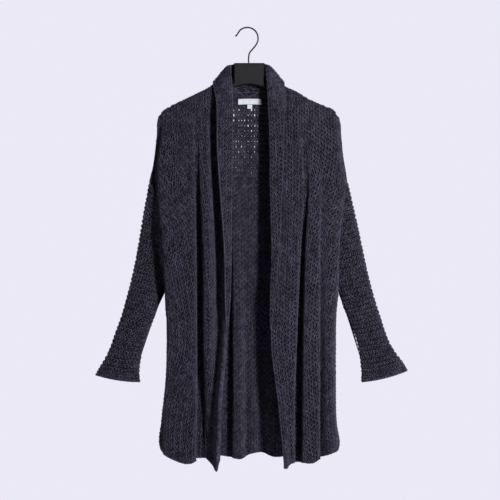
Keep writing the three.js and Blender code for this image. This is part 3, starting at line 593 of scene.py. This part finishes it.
def resampled(at, keys, values, reach):
    """Values at places along a line, which runs straight on past both of its ends."""
    def beyond(end, before):
        step = abs(keys[end] - keys[before])
        return values[end] + (values[end] - values[before]) * (2 * reach / step if step > 0.01 else 0)
    keys_out = np.concatenate([[keys[0] - 2 * reach], keys, [keys[-1] + 2 * reach]])
    values_out = np.concatenate([[beyond(0, 1)], values, [beyond(-1, -2)]])
    return np.stack([np.interp(at, keys_out, column) for column in values_out.T], axis=-1)


def over_edge(heights, base):
    """Heights over a base, which follow the lowest row of points near it."""
    near = np.clip((heights - heights[0]) / HEM_REACH, 0, 1)
    return heights - base + (base - heights[0]) * (1 - near * near * (3 - 2 * near))


def level_height(points, hem):
    """Heights over the hem of level rows of knit, measured along the cloth near the shoulder."""
    z = points[..., 2]
    steps = np.linalg.norm(np.diff(points[..., 1:], axis=0), axis=-1) - np.abs(np.diff(z, axis=0))
    steps[z[1:] < z[-1] - SHOULDER_ROUND] = 0
    return over_edge(z, hem) + np.pad(np.cumsum(steps, axis=0), ((1, 0), (0, 0)))


def square_rows(points, normals):
    """A sleeve with its rows square to its length, each ending at the armhole, and their heights."""
    both = np.concatenate([points, normals], axis=2)[::-1]
    way = unit((points[0].mean(axis=0) - points[-1].mean(axis=0)) * np.array([1, 0, 1]))
    along = both[..., :3] @ way
    heights = over_edge(along, along[0].mean())
    levels = np.append(np.arange(0, heights.max(), TABLE_UP), heights.max())
    made = np.stack([
        np.stack([np.interp(levels, heights[:, c], both[:, c, axis]) for axis in range(6)], axis=-1)
        for c in range(both.shape[1])
    ], axis=1)
    columns = np.arange(both.shape[1])
    middle = both.shape[1] // 2
    for half in (columns[:middle + 1], columns[middle:][::-1]):
        tops = np.maximum.accumulate(heights[-1, half])
        ends = np.interp(levels, tops, half)
        for row, level in enumerate(levels):
            past = half[tops < level]
            for axis in range(6):
                made[row, past, axis] = np.interp(ends[row], columns, both[-1, :, axis])
    return made[::-1, :, :3], made[::-1, :, 3:], levels


class Cloth:
    """A surface in flat coordinates.

    Heights go up each column, or are those of one column (even), level, or given for each row (levels).
    """

    def __init__(self, points, normals, levels=None, *, origin, even=None, level=False, wale=WALE):
        points, normals = points[::-1], normals[::-1]
        self.wale = wale
        across = running_length(points, 1)
        across -= across[:, origin:origin + 1]
        self.w_step, self.d_step = TABLE_ACROSS, TABLE_UP
        self.w_first = across.min() - self.w_step
        w = np.arange(self.w_first, across.max() + 2 * self.w_step, self.w_step)
        both = np.concatenate([points, normals], axis=2)
        rows = np.array([resampled(w, across[r], both[r], self.w_step) for r in range(len(both))])
        hem = points[0, :, 2].mean()
        up = level_height(rows[..., :3], hem) if level else running_length(rows[..., :3], 0)
        if even is not None:
            up[:] = running_length(points, 0)[:, even:even + 1]
        if levels is not None:
            up[:] = levels[:, None]
        self.height = up[-1]
        d = np.arange(0, up.max() + 2 * self.d_step, self.d_step)
        self.table = np.empty((len(d), len(w), 6))
        for c in range(len(w)):
            self.table[:, c] = resampled(d, up[:, c], rows[:, c], self.d_step)
        self.w = w
        self.edge_up = [
            (level_height(points[:, [side]], hem) if level else running_length(points[:, [side]], 0))[:, 0]
            for side in (0, -1)
        ]
        if even is not None or levels is not None:
            self.edge_up = [up[:, 0], up[:, 0]]
        self.edge_across = [across[:, 0], across[:, -1]]
        if levels is not None:
            held = (across[:, :1] <= w) & (w <= across[:, -1:])
            self.height = np.where(held, up, 0).max(axis=0)

    def low(self, d):
        return np.interp(d, self.edge_up[0], self.edge_across[0])

    def high(self, d):
        return np.interp(d, self.edge_up[1], self.edge_across[1])

    def top(self, w):
        return np.interp(w, self.w, self.height)

    def place(self, w, d, out=0.0):
        """Points in metres at w across, d up and out from the cloth's middle, and the normals there."""
        w, d, out = np.broadcast_arrays(np.asarray(w, float), np.asarray(d, float), np.asarray(out, float))
        column = np.clip((w - self.w_first) / self.w_step, 0, self.table.shape[1] - WITHIN_TABLE)
        row = np.clip(d / self.d_step, 0, self.table.shape[0] - WITHIN_TABLE)
        c, r = column.astype(int), row.astype(int)
        fc, fr = (column - c)[..., None], (row - r)[..., None]
        t = self.table
        found = mix(mix(t[r, c], t[r, c + 1], fc), mix(t[r + 1, c], t[r + 1, c + 1], fc), fr)
        normals = unit(found[..., 3:])
        return (found[..., :3] + normals * out[..., None]) * MM, normals


# Meshes

def add_object(name, data):
    made = bpy.data.objects.new(name, data)
    bpy.context.scene.collection.objects.link(made)
    return made


def new_object(name, points, faces, uv=None, smooth=True):
    """A mesh object from faces of four corners. A face whose last two are the same is a triangle."""
    faces = np.asarray(faces, np.int64)
    three = faces[:, 2] == faces[:, 3]
    sizes = np.where(three, 3, 4)
    keep = np.ones(faces.shape, bool)
    keep[three, 3] = False
    corners = faces[keep]
    mesh = bpy.data.meshes.new(name)
    mesh.vertices.add(len(points))
    mesh.vertices.foreach_set("co", np.asarray(points, np.float32).ravel())
    mesh.loops.add(len(corners))
    mesh.loops.foreach_set("vertex_index", corners.astype(np.int32))
    mesh.polygons.add(len(faces))
    starts = np.concatenate([[0], np.cumsum(sizes)[:-1]])
    mesh.polygons.foreach_set("loop_start", starts.astype(np.int32))
    mesh.polygons.foreach_set("use_smooth", np.full(len(faces), smooth))
    if uv is not None:
        layer = mesh.uv_layers.new(name="OFBake")
        layer.data.foreach_set("uv", np.asarray(uv, np.float32)[keep].ravel())
    mesh.update(calc_edges=True)
    mesh.validate()
    return add_object(name, mesh)


class Strands:
    """Many round strands gathered into one mesh."""

    def __init__(self):
        self.points, self.faces, self.uv = [], [], []
        self.count = 0

    def add(self, path, normals, radius):
        sides = YARN_SIDES
        tangent = unit(np.gradient(path, axis=0))
        across = unit(np.cross(tangent, normals))
        up = np.cross(across, tangent)
        angle = 2 * math.pi * (np.arange(sides) + 0.5) / sides
        radius = np.broadcast_to(np.asarray(radius, float), (len(path),))[:, None, None]
        ring = np.cos(angle)[None, :, None] * across[:, None] + np.sin(angle)[None, :, None] * up[:, None]
        self.points.append((path[:, None] + radius * ring).reshape(-1, 3))
        i = np.arange(len(path) - 1)[:, None] * sides
        j = np.arange(sides)[None, :]
        k = (j + 1) % sides
        quads = np.stack([i + j, i + sides + j, i + sides + k, i + k], axis=-1).reshape(-1, 4)
        caps = np.array([[2, 1, 0, 0], [0, 1, 2, 2]])
        caps[1] += (len(path) - 1) * sides
        self.faces.append(np.concatenate([quads, caps]) + self.count)
        step = np.broadcast_to(np.arange(len(path) - 1)[:, None], (len(path) - 1, sides))
        side = np.broadcast_to(j, (len(path) - 1, sides))
        u = np.stack([step, step + 1, step + 1, step], axis=-1).reshape(-1, 4) / (len(path) - 1)
        v = np.stack([side, side, side + 1, side + 1], axis=-1).reshape(-1, 4) / (sides + 1)
        # Both caps take a small corner of the map, past the strip of the last side
        corner = np.zeros((2, 4, 2))
        corner[:, :, 1] = (sides + 0.3) / (sides + 1)
        corner[:, [1, 2], 0] = 0.002
        corner[:, [2, 3], 1] += 0.3 / (sides + 1)
        corner[1, :, 0] += 0.01
        self.uv.append(np.concatenate([np.stack([u, v], axis=-1), corner]))
        self.count += len(path) * sides

    def build(self, name):
        rows = len(self.uv)
        uv = np.concatenate([
            np.stack([piece[..., 0], (i + piece[..., 1]) / rows], axis=-1)
            for i, piece in enumerate(self.uv)
        ])
        return new_object(name, np.concatenate(self.points), np.concatenate(self.faces), uv)


class Drift:
    """A smooth seeded field over the cloth, about -1 to 1."""

    def __init__(self, rng, lengths):
        self.waves = [
            (2 * math.pi / length, rng.uniform(0, 2 * math.pi), rng.uniform(0, 2 * math.pi))
            for length in lengths
        ]

    def __call__(self, w, d):
        total = 0
        for wave, turn, phase in self.waves:
            total = total + np.sin(wave * (math.cos(turn) * w + math.sin(turn) * d) + phase)
        return total / math.sqrt(len(self.waves))


def row_starts(length, row, edge_rows):
    """Heights where the rows of knit start, closer at the hem or cuff."""
    starts = [0.0]
    while starts[-1] < length:
        starts.append(starts[-1] + (EDGE_ROW if len(starts) <= edge_rows else row))
    return np.array(starts)


def wale_bounds(low, high, wale):
    """Edges of the stitches across a row, at whole stitch widths from the cloth's own line."""
    first, last = math.ceil(low / wale + 0.5), math.floor(high / wale - 0.5)
    inner = np.arange(first, last + 1) * wale
    return np.concatenate([[low], inner, [high]])


def knit(cloth, row, edge_rows, rng, strands_for, stitch, staggered_to):
    """Loops one yarn along each row of the cloth. strands_for gives the strands that a row goes to."""
    starts = row_starts(cloth.height.max(), row, edge_rows)
    drift = Drift(rng, LEAN_LENGTHS)
    swell = Drift(rng, SWELL_LENGTHS)
    for start, end in zip(starts[:-1], starts[1:]):
        height = end - start
        middle = start + height / 2
        bounds = wale_bounds(float(cloth.low(middle)), float(cloth.high(middle)), cloth.wale)
        if len(bounds) < 3:
            continue
        left, right = bounds[:-1], bounds[1:]
        centre = (left + right) / 2
        jitter = rng.normal(0, LOOSE, (len(left), len(stitch), 2))
        shift = rng.normal(0, STITCH_SHIFT, (len(left), 1, 2))
        room = (cloth.top(centre) - start) / height
        across = stitch[None, :, 0] + jitter[..., 0] + shift[..., 0]
        w = centre[:, None] + (right - left)[:, None] * across
        d = start + height * (stitch[None, :, 1] + jitter[..., 1] * LOOSE_UP + shift[..., 1])
        if start < staggered_to:
            d = d + height * STAGGER * np.where(np.floor(centre / cloth.wale) % 2 > 0, 1, -1)[:, None]
        tilt = (LEAN * drift(w, d) + rng.normal(0, STITCH_LEAN, (len(left), 1))) * cloth.wale
        w = w + tilt * (stitch[None, :, 1] - LEAN_FOOT)
        out = np.broadcast_to(stitch[None, :, 2] * LOOP_DEPTH, w.shape)
        alive = room > LEAST_ROOM
        run = []
        for index in range(len(left) + 1):
            if index < len(left) and alive[index]:
                run.append(index)
                continue
            if len(run) > 1:
                add_run(cloth, strands_for(start), w[run], d[run], out[run], right[run[-1]], swell)
            run = []


def add_run(cloth, strands, w, d, out, end, swell):
    w = np.append(w.ravel(), end)
    d = np.append(d.ravel(), d[-1, 0])
    out = np.append(out.ravel(), out[-1, 0])
    held = np.clip(w, cloth.low(d), cloth.high(d))
    out = np.where(held == w, out, 0.0)
    w = held
    d = np.clip(d, 0, cloth.top(w))
    path, normals = cloth.place(w, d, out)
    thick = YARN_RADIUS * MM * (1 + SWELL * swell(w, d))
    strands.add(path, normals, thick)


def edge_rope(strands, cloth, w, d, radius):
    """Two yarns twisted round each other along a line on the cloth."""
    path, normals = cloth.place(w, d)
    run = running_length(path, 0) / MM
    aside = unit(np.cross(np.gradient(path, axis=0), normals))
    for start in (0, math.pi):
        angle = (2 * math.pi * run / ROPE_PITCH + start)[:, None]
        offset = (np.cos(angle) * normals + np.sin(angle) * aside) * radius * ROPE_TWIST * MM
        strands.add(path + offset, normals, radius * MM)


def along_edge(cloth, edge, inset):
    """A line up one side of the cloth, a little inside its edge."""
    d = np.arange(0, cloth.edge_up[1 if edge == "high" else 0][-1], ROPE_STEP)
    w = cloth.high(d) - inset if edge == "high" else cloth.low(d) + inset
    return w, d


def along_hem(cloth, inset):
    w = np.arange(float(cloth.low(0)), float(cloth.high(0)), ROPE_STEP)
    return w, np.full_like(w, inset)


def ground(name, cloth, row, edge_rows, gaps=None, past_top=0.0):
    """Thin closed sheet in the middle of the cloth, dressed dark as painted shade between the stitches.
    gaps(w, d) says how open each stitch is, 0 to 1.
    """
    starts = row_starts(cloth.height.max() + row, row, edge_rows)
    heights = np.diff(starts)
    if gaps:
        both = [starts[:-1] + share * heights for share in (GAP_FOOT, GAP_HEAD)]
        levels = np.stack(both, axis=-1).ravel()
    else:
        levels = starts[:-1] + 0.5 * heights
    up = np.concatenate([[0.0], levels])
    wale = cloth.wale
    middles = (np.arange(math.floor(cloth.w[0] / wale), math.ceil(cloth.w[-1] / wale)) + 0.5) * wale
    across = (middles[:, None] + np.array([-GAP_HALF_WIDTH, GAP_HALF_WIDTH]) * wale).ravel()
    w, d = (a.copy() for a in np.meshgrid(across, up))
    if gaps:
        level_middles = (up[1::2] + up[2::2]) / 2
        openness = gaps(*np.meshgrid(middles, level_middles))
        size = np.where(openness > 0, openness, SHUT_SIZE).repeat(2, axis=0).repeat(2, axis=1)
        w = mix(middles.repeat(2)[None, :], w, np.vstack([size[:1], size]))
        d[1:] = mix(level_middles.repeat(2)[:, None], d[1:], size)
    reach = np.clip(w, cloth.low(d) - GROUND_PAST_EDGE, cloth.high(d) + GROUND_PAST_EDGE)
    rise = np.minimum(d, cloth.top(reach) + past_top)
    points, normals = cloth.place(reach, rise)
    rows, columns = w.shape
    key = np.round(points.reshape(-1, 3) * MERGES_TO_THE_METRE).astype(np.int64)
    kept, merged = np.unique(key, axis=0, return_index=True, return_inverse=True)[1:]
    index = merged.reshape(rows, columns)
    cells = grid_cells(index)
    shut = np.ones(cells.shape[:2], bool)
    if gaps:
        inside = (w[1::2, ::2] > cloth.low(d[1::2, ::2])) & (w[1::2, 1::2] < cloth.high(d[1::2, 1::2]))
        shut[1::2, ::2] = (openness <= 0) | ~inside
    cells = cells[shut]
    points, normals = points.reshape(-1, 3)[kept], normals.reshape(-1, 3)[kept]
    return closed_wall(name, points, normals, tidy_faces(cells), GROUND_WALL * MM)


def grid_cells(index):
    return np.stack([index[:-1, :-1], index[:-1, 1:], index[1:, 1:], index[1:, :-1]], axis=-1)


def tidy_faces(cells):
    """Drops cells that shrank to nothing and writes three-cornered ones with the last corner twice."""
    faces = []
    for cell in cells.tolist():
        corners = [c for i, c in enumerate(cell) if c != cell[i - 1]]
        if len(set(corners)) < len(corners) or len(corners) < 3:
            continue
        faces.append(corners if len(corners) == 4 else corners + corners[-1:])
    return np.array(faces)


def closed_wall(name, points, normals, faces, thickness):
    """A wall with both skins and its rims, from a sheet of faces."""
    count = len(points)
    outer = points + normals * thickness / 2
    inner = points - normals * thickness / 2
    a, b, c, d = faces.T
    three = c == d
    turned = np.stack([c, b, a, np.where(three, a, d)], axis=-1)
    turned[~three] = np.stack([d, c, b, a], axis=-1)[~three]
    edges = np.concatenate([
        np.stack([a, b], axis=-1), np.stack([b, c], axis=-1),
        np.stack([c, d], axis=-1)[~three], np.stack([d, a], axis=-1)[~three],
        np.stack([c, a], axis=-1)[three],
    ])
    code = np.sort(edges, axis=1) @ np.array([count, 1])
    where, uses = np.unique(code, return_index=True, return_counts=True)[1:]
    rim = edges[where[uses == 1]]
    rims = np.stack([rim[:, 1], rim[:, 0], rim[:, 0] + count, rim[:, 1] + count], axis=-1)
    everything = np.concatenate([faces, turned + count, rims])
    return new_object(name, np.concatenate([outer, inner]), everything)


# Materials

def material(name, colour, roughness):
    made = bpy.data.materials.new(name)
    made.use_nodes = True
    shader = made.node_tree.nodes["Principled BSDF"]
    shader.inputs["Base Color"].default_value = (*colour, 1)
    shader.inputs["Roughness"].default_value = roughness
    return made, made.node_tree, shader


def add_node(tree, kind, values=(), links=()):
    """A node with the given values on its sockets and other nodes' outputs linked to them."""
    node = tree.nodes.new(kind)
    for socket, value in dict(values).items():
        node.inputs[socket].default_value = value
    for socket, source in dict(links).items():
        tree.links.new(source, node.inputs[socket])
    return node


def add_noise(tree, scale, detail=2.0):
    """Noise at a number of lumps to the metre, in the object's own coordinates."""
    place = add_node(tree, "ShaderNodeTexCoord").outputs["Object"]
    noise = add_node(tree, "ShaderNodeTexNoise", {"Scale": scale, "Detail": detail}, {"Vector": place})
    return noise.outputs["Fac"]


def add_bands(tree, scale, axis):
    """Even ribs across an axis, for the threads of a woven tape."""
    place = add_node(tree, "ShaderNodeTexCoord").outputs["Object"]
    wave = add_node(tree, "ShaderNodeTexWave", {"Scale": scale}, {"Vector": place})
    wave.bands_direction = axis
    return wave.outputs["Fac"]


def combined(tree, operation, first, second):
    node = add_node(tree, "ShaderNodeMath", links={0: first, 1: second})
    node.operation = operation
    return node.outputs[0]


def colours_by(tree, value, dark, light, low=0.35, high=0.65):
    ramp = add_node(tree, "ShaderNodeValToRGB", links={"Fac": value})
    for element, place, colour in zip(ramp.color_ramp.elements, (low, high), (dark, light)):
        element.position = place
        element.color = (*colour, 1)
    return ramp.outputs["Color"]


def roughness_by(tree, shader, value, low, high):
    span = add_node(tree, "ShaderNodeMapRange", {"To Min": low, "To Max": high}, {"Value": value})
    tree.links.new(span.outputs["Result"], shader.inputs["Roughness"])


def add_bump(tree, shader, value, distance):
    bump = add_node(tree, "ShaderNodeBump", {"Distance": distance, "Strength": 1.0}, {"Height": value})
    tree.links.new(bump.outputs["Normal"], shader.inputs["Normal"])


def shades(colour, spread):
    return [tuple(part * (1 + change) for part in colour) for change in (-spread, spread)]


def mottled(name, colour, roughness, spread, lumps):
    """A material whose colour varies from lump to lump."""
    made, tree, shader = material(name, colour, roughness)
    dark, light = shades(colour, spread)
    tree.links.new(colours_by(tree, add_noise(tree, lumps), dark, light), shader.inputs["Base Color"])
    return made, tree, shader


def wool_material(name, colour, spread, roughness=0.9):
    """Matt soft-napped yarn, uneven in colour along its length and from lump to lump."""
    made, tree, shader = material(name, colour, roughness)
    patches = combined(tree, "MULTIPLY", *(add_noise(tree, lumps) for lumps in YARN_LUMPS))
    dark, light = shades(colour, spread)
    tree.links.new(colours_by(tree, patches, dark, light, low=0.14, high=0.38), shader.inputs["Base Color"])
    shader.inputs["Sheen Weight"].default_value = 0.18
    shader.inputs["Sheen Roughness"].default_value = 0.5
    shader.inputs["Sheen Tint"].default_value = (0.72, 0.70, 0.85, 1)
    shader.inputs["Specular IOR Level"].default_value = 0.2
    add_bump(tree, shader, add_noise(tree, NAP_LUMPS), distance=0.0005)
    return made


def tape_material():
    """White satin tape with fine crossed threads."""
    made, tree, shader = mottled("woven_tape", TAPE_COLOUR, roughness=0.55, spread=0.04, lumps=120)
    threads = combined(tree, "ADD", *(add_bands(tree, TAPE_THREADS, axis) for axis in "XZ"))
    shader.inputs["Sheen Weight"].default_value = 0.1
    add_bump(tree, shader, threads, distance=0.00012)
    return made


def plastic_material():
    """Black moulded plastic with a fine grain, a little duller in patches."""
    made, tree, shader = mottled("moulded_black", PLASTIC_COLOUR, roughness=0.5, spread=0.12, lumps=30)
    roughness_by(tree, shader, add_noise(tree, 45), low=0.42, high=0.6)
    shader.inputs["Specular IOR Level"].default_value = 0.15
    add_bump(tree, shader, add_noise(tree, 2500, detail=1), distance=0.00008)
    return made


def wire_material():
    """Black lacquered wire, with small runs in the lacquer."""
    made, tree, shader = mottled("lacquered_wire", WIRE_COLOUR, roughness=0.3, spread=0.3, lumps=90)
    roughness_by(tree, shader, add_noise(tree, 160), low=0.22, high=0.4)
    shader.inputs["Coat Weight"].default_value = 0.4
    add_bump(tree, shader, add_noise(tree, 300, detail=1), distance=0.0001)
    return made


def floor_material():
    made, tree, shader = material("pale_floor", FLOOR_COLOUR, 0.8)
    dark = tuple(part - FLOOR_SPREAD for part in FLOOR_COLOUR)
    light = tuple(part + FLOOR_SPREAD for part in FLOOR_COLOUR)
    tree.links.new(colours_by(tree, add_noise(tree, 3), dark, light), shader.inputs["Base Color"])
    return made


# Scene round the object

def set_camera():
    data = bpy.data.cameras.new("photo_camera")
    data.sensor_width = SENSOR_MM
    data.lens = SENSOR_MM * CAMERA_DISTANCE / (FRAME_MM * MM)
    made = add_object("photo_camera", data)
    made.location = (FRAME_CENTRE[0] * MM, -CAMERA_DISTANCE, FRAME_CENTRE[1] * MM)
    made.rotation_euler = (math.pi / 2, 0, 0)
    bpy.context.scene.camera = made


def add_light(name, direction, distance, size, power, colour):
    data = bpy.data.lights.new(name, "AREA")
    data.shape = "DISK"
    data.size = size
    data.energy = power
    data.color = colour
    made = add_object(name, data)
    way = unit(np.array(direction, float))
    target = np.array([FRAME_CENTRE[0] * MM, 0, FRAME_CENTRE[1] * MM])
    made.location = target + way * distance
    made.rotation_euler = Vector(-way).to_track_quat("-Z", "Y").to_euler()


def set_world():
    """Pale lavender behind everything, with a dimmer even light on the cloth."""
    world = bpy.data.worlds.new("studio")
    world.use_nodes = True
    bpy.context.scene.world = world
    tree = world.node_tree
    tree.nodes.clear()
    seen = add_node(tree, "ShaderNodeBackground", {"Color": (*BACKDROP_COLOUR, 1)})
    light = add_node(tree, "ShaderNodeBackground", {"Color": (*AMBIENT_COLOUR, 1), "Strength": AMBIENT})
    path = add_node(tree, "ShaderNodeLightPath")
    sources = {0: path.outputs["Is Camera Ray"], 1: light.outputs[0], 2: seen.outputs[0]}
    mixed = add_node(tree, "ShaderNodeMixShader", links=sources)
    add_node(tree, "ShaderNodeOutputWorld", links={0: mixed.outputs[0]})


def set_look():
    view = bpy.context.scene.view_settings
    view.view_transform = "Standard"
    view.look = "None"
    view.exposure = 0
    view.gamma = 1


def add_floor():
    angles = np.linspace(0, 2 * math.pi, FLOOR_SIDES + 1)[:-1]
    ring = np.stack([np.cos(angles), np.sin(angles), 0 * angles], axis=-1) * FLOOR_RADIUS
    points = np.vstack([[0, 0, 0], ring]) + np.array([0, 0, FLOOR_HEIGHT])
    rim = np.arange(1, FLOOR_SIDES + 1)
    following = np.roll(rim, -1)
    faces = np.stack([0 * rim, rim, following, following], axis=-1)
    floor = new_object("floor", points, faces, smooth=False)
    floor.data.materials.append(floor_material())


# Pieces

def finish_piece(piece, look):
    piece.data.materials.append(look)
    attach(piece, "root")
    return piece


def dress(panel, cloth, row=ROW, edge_rows=0, parts=1, gaps=None, edges=(), stitch=STITCH,
          staggered_to=math.inf, under=None, past_top=0.0):
    """Ground, yarn and edges for one node, whose own solid is then hidden."""
    sheet = ground(f"{panel}_ground", cloth, row, edge_rows, gaps, past_top)
    # The ground takes a dark material, painted shade in the gaps between stitches.
    pieces = [finish_piece(sheet, under or ground_shade_wool)]
    groups = [Strands() for part in range(parts)]
    tallest = cloth.height.max()
    knit(cloth, row, edge_rows, rng, lambda d: groups[min(parts - 1, int(parts * d / tallest))], stitch,
         staggered_to)
    names = [f"{panel}_yarn"] if parts == 1 else [f"{panel}_yarn_{part + 1}" for part in range(parts)]
    pieces += [finish_piece(group.build(name), wool) for name, group in zip(names, groups)]
    rope = Strands()
    for edge, radius in edges:
        line = along_hem(cloth, radius) if edge == "hem" else along_edge(cloth, edge, radius)
        edge_rope(rope, cloth, *line, radius)
    if rope.count:
        pieces.append(finish_piece(rope.build(f"{panel}_edges"), edge_wool_and_highlight))
    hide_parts(panel)


def back_gaps(w, d):
    """How far the stitches of the upper back are open: most gaps are small, and fewer come lower down."""
    place = back_cloth.place(w, d)[0]
    x, z = place[..., 0] / MM, place[..., 2] / MM
    chance = np.where(z > GAPS_END, GAPS_MOST, np.where(z > GAPS_LAST, GAPS_LAST_CHANCE, 0))
    chance = np.where((z < GAPS_TOP) & (x > GAPS_SIDES[0]) & (x < GAPS_SIDES[1]), chance, 0)
    low = np.clip((GAPS_TOP - z) / (GAPS_TOP - GAPS_END), 0, 1)
    size = GAP_SIZES[0] + (GAP_SIZES[1] - GAP_SIZES[0]) * gap_draws.uniform(0, 1, w.shape) ** 3
    size = size * (1 - GAPS_SHRINK * low ** 2)
    return np.where(gap_draws.uniform(0, 1, w.shape) < chance, size, 0)


def inside_of_back(x, z, clear):
    """Y in millimetres of places at x and z that lie clear of the middle of the back, on its inner side."""
    skin = (back[0] - back[1] * clear).reshape(-1, 3)
    away = (x.reshape(-1, 1) - skin[:, 0]) ** 2 + (z.reshape(-1, 1) - skin[:, 2]) ** 2
    nearest = np.argpartition(away, TAPE_NEIGHBOURS, axis=1)[:, :TAPE_NEIGHBOURS]
    weights = 1 / (np.take_along_axis(away, nearest, axis=1) + 0.01)
    return ((skin[nearest, 1] * weights).sum(axis=1) / weights.sum(axis=1)).reshape(x.shape)


def sewn_tape(name, node, size, folded):
    """A blank tape on the inside of the back. folded says how far each place stands off from it."""
    across = np.linspace(size["x"][0], size["x"][1], TAPE_STEPS[0])
    down = np.linspace(size["z"][0], size["z"][1], TAPE_STEPS[1])
    x, z = np.meshgrid(across, down)
    share = (x - x.min()) / (x.max() - x.min())
    z = z + size["crown"] * (4 * share * (1 - share) - 1)
    y = inside_of_back(x, z, TAPE_CLEAR) - folded(x, z)
    points = np.stack([x, y, z], axis=-1).reshape(-1, 3) * MM
    index = np.arange(x.size).reshape(x.shape)
    faces = grid_cells(index)[..., [0, 3, 2, 1]].reshape(-1, 4)
    normals = np.broadcast_to(np.array([0.0, -1.0, 0.0]), points.shape)
    piece = finish_piece(closed_wall(name, points, normals, faces, TAPE_WALL * MM), tape_look)
    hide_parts(node)


def label_ends(x, z):
    near = np.minimum(x - LABEL["x"][0], LABEL["x"][1] - x)
    return np.where(near < LABEL_TURN["width"], LABEL_TURN["rise"], 0) + 0 * z


def tab_bulge(x, z):
    share = (z - SIZE_TAB["z"][0]) / (SIZE_TAB["z"][1] - SIZE_TAB["z"][0])
    return TAB_BULGE * np.clip(share, 0, 1) ** 2


# Build

set_camera()
set_world()
set_look()
for light in LIGHTS:
    add_light(**light)
add_floor()

rng = np.random.default_rng(SEED)
gap_draws = np.random.default_rng(SEED + 1)
wool = wool_material("knit_yarn", YARN_COLOUR, YARN_SPREAD)
# The edge yarn's lighter colour is partly a painted highlight of the lit free edges.
edge_wool_and_highlight = wool_material("edge_yarn_and_painted_highlight", EDGE_YARN_AND_HIGHLIGHT_COLOUR, 0.2)
# The two ground materials are painted shade: dark sheets in the gaps between stitches.
ground_shade_wool = wool_material("knit_ground_painted_shade", GROUND_SHADE_COLOUR, 0.25, roughness=1.0)
inside_shade_wool = wool_material("knit_inside_painted_shade", INSIDE_SHADE_COLOUR, 0.3, roughness=1.0)
tape_look = tape_material()

right, left = SIDES["right"], SIDES["left"]
front_right = front_surface(right, FRONT_RIGHT_FOLDS)
front_left = front_surface(left, FRONT_LEFT_FOLDS)
back = back_surface()
back_cloth = Cloth(*back, origin=(CENTRE_BACK_FOLD + 1) * FOLD_STEPS, level=True, wale=BACK_WALE)

seam, edge = SEAM_YARN_RADIUS, EDGE_YARN_RADIUS
dress("back", back_cloth, row=BACK_ROW, edge_rows=HEM_EDGE_ROWS, parts=2, gaps=back_gaps,
      edges=[("low", seam), ("high", seam), ("hem", edge)], stitch=BACK_STITCH,
      staggered_to=GAPS_LAST - BACK_HEM, under=inside_shade_wool)
for name, surface in (("front_right", front_right), ("front_left", front_left)):
    dress(name, Cloth(*surface, origin=0, level=True), edge_rows=HEM_EDGE_ROWS,
          edges=[("low", edge), ("high", seam), ("hem", edge)])
for name, side, stations in (("sleeve_right", right, SLEEVE_RIGHT), ("sleeve_left", left, SLEEVE_LEFT)):
    surface = square_rows(*sleeve_surface(side, stations))
    cloth = Cloth(*surface, origin=SLEEVE_COLUMNS // 2, wale=SLEEVE_WALE)
    dress(name, cloth, row=SLEEVE_ROW, edge_rows=CUFF_EDGE_ROWS,
          edges=[("hem", edge), ("low", seam)], stitch=SLEEVE_STITCH, staggered_to=0,
          past_top=GROUND_UNDER_ARMHOLE)
for name, side, stations, front in (("collar_right", right, COLLAR_RIGHT, front_right),
                                    ("collar_left", left, COLLAR_LEFT, front_left)):
    surface = collar_surface(side, stations, front, back)
    dress(name, Cloth(*surface, origin=2 * FOLD_STEPS, even=2 * FOLD_STEPS),
          edges=[("high", edge), ("low", seam), ("hem", seam)], past_top=GROUND_PAST_EDGE)

sewn_tape("label_tape", "neck_label", LABEL, label_ends)
sewn_tape("size_tape", "size_tab", SIZE_TAB, tab_bulge)
for node, look in (("hanger_body", plastic_material()), ("hanger_hook", wire_material())):
    for material_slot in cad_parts[node].material_slots:
        material_slot.material = look
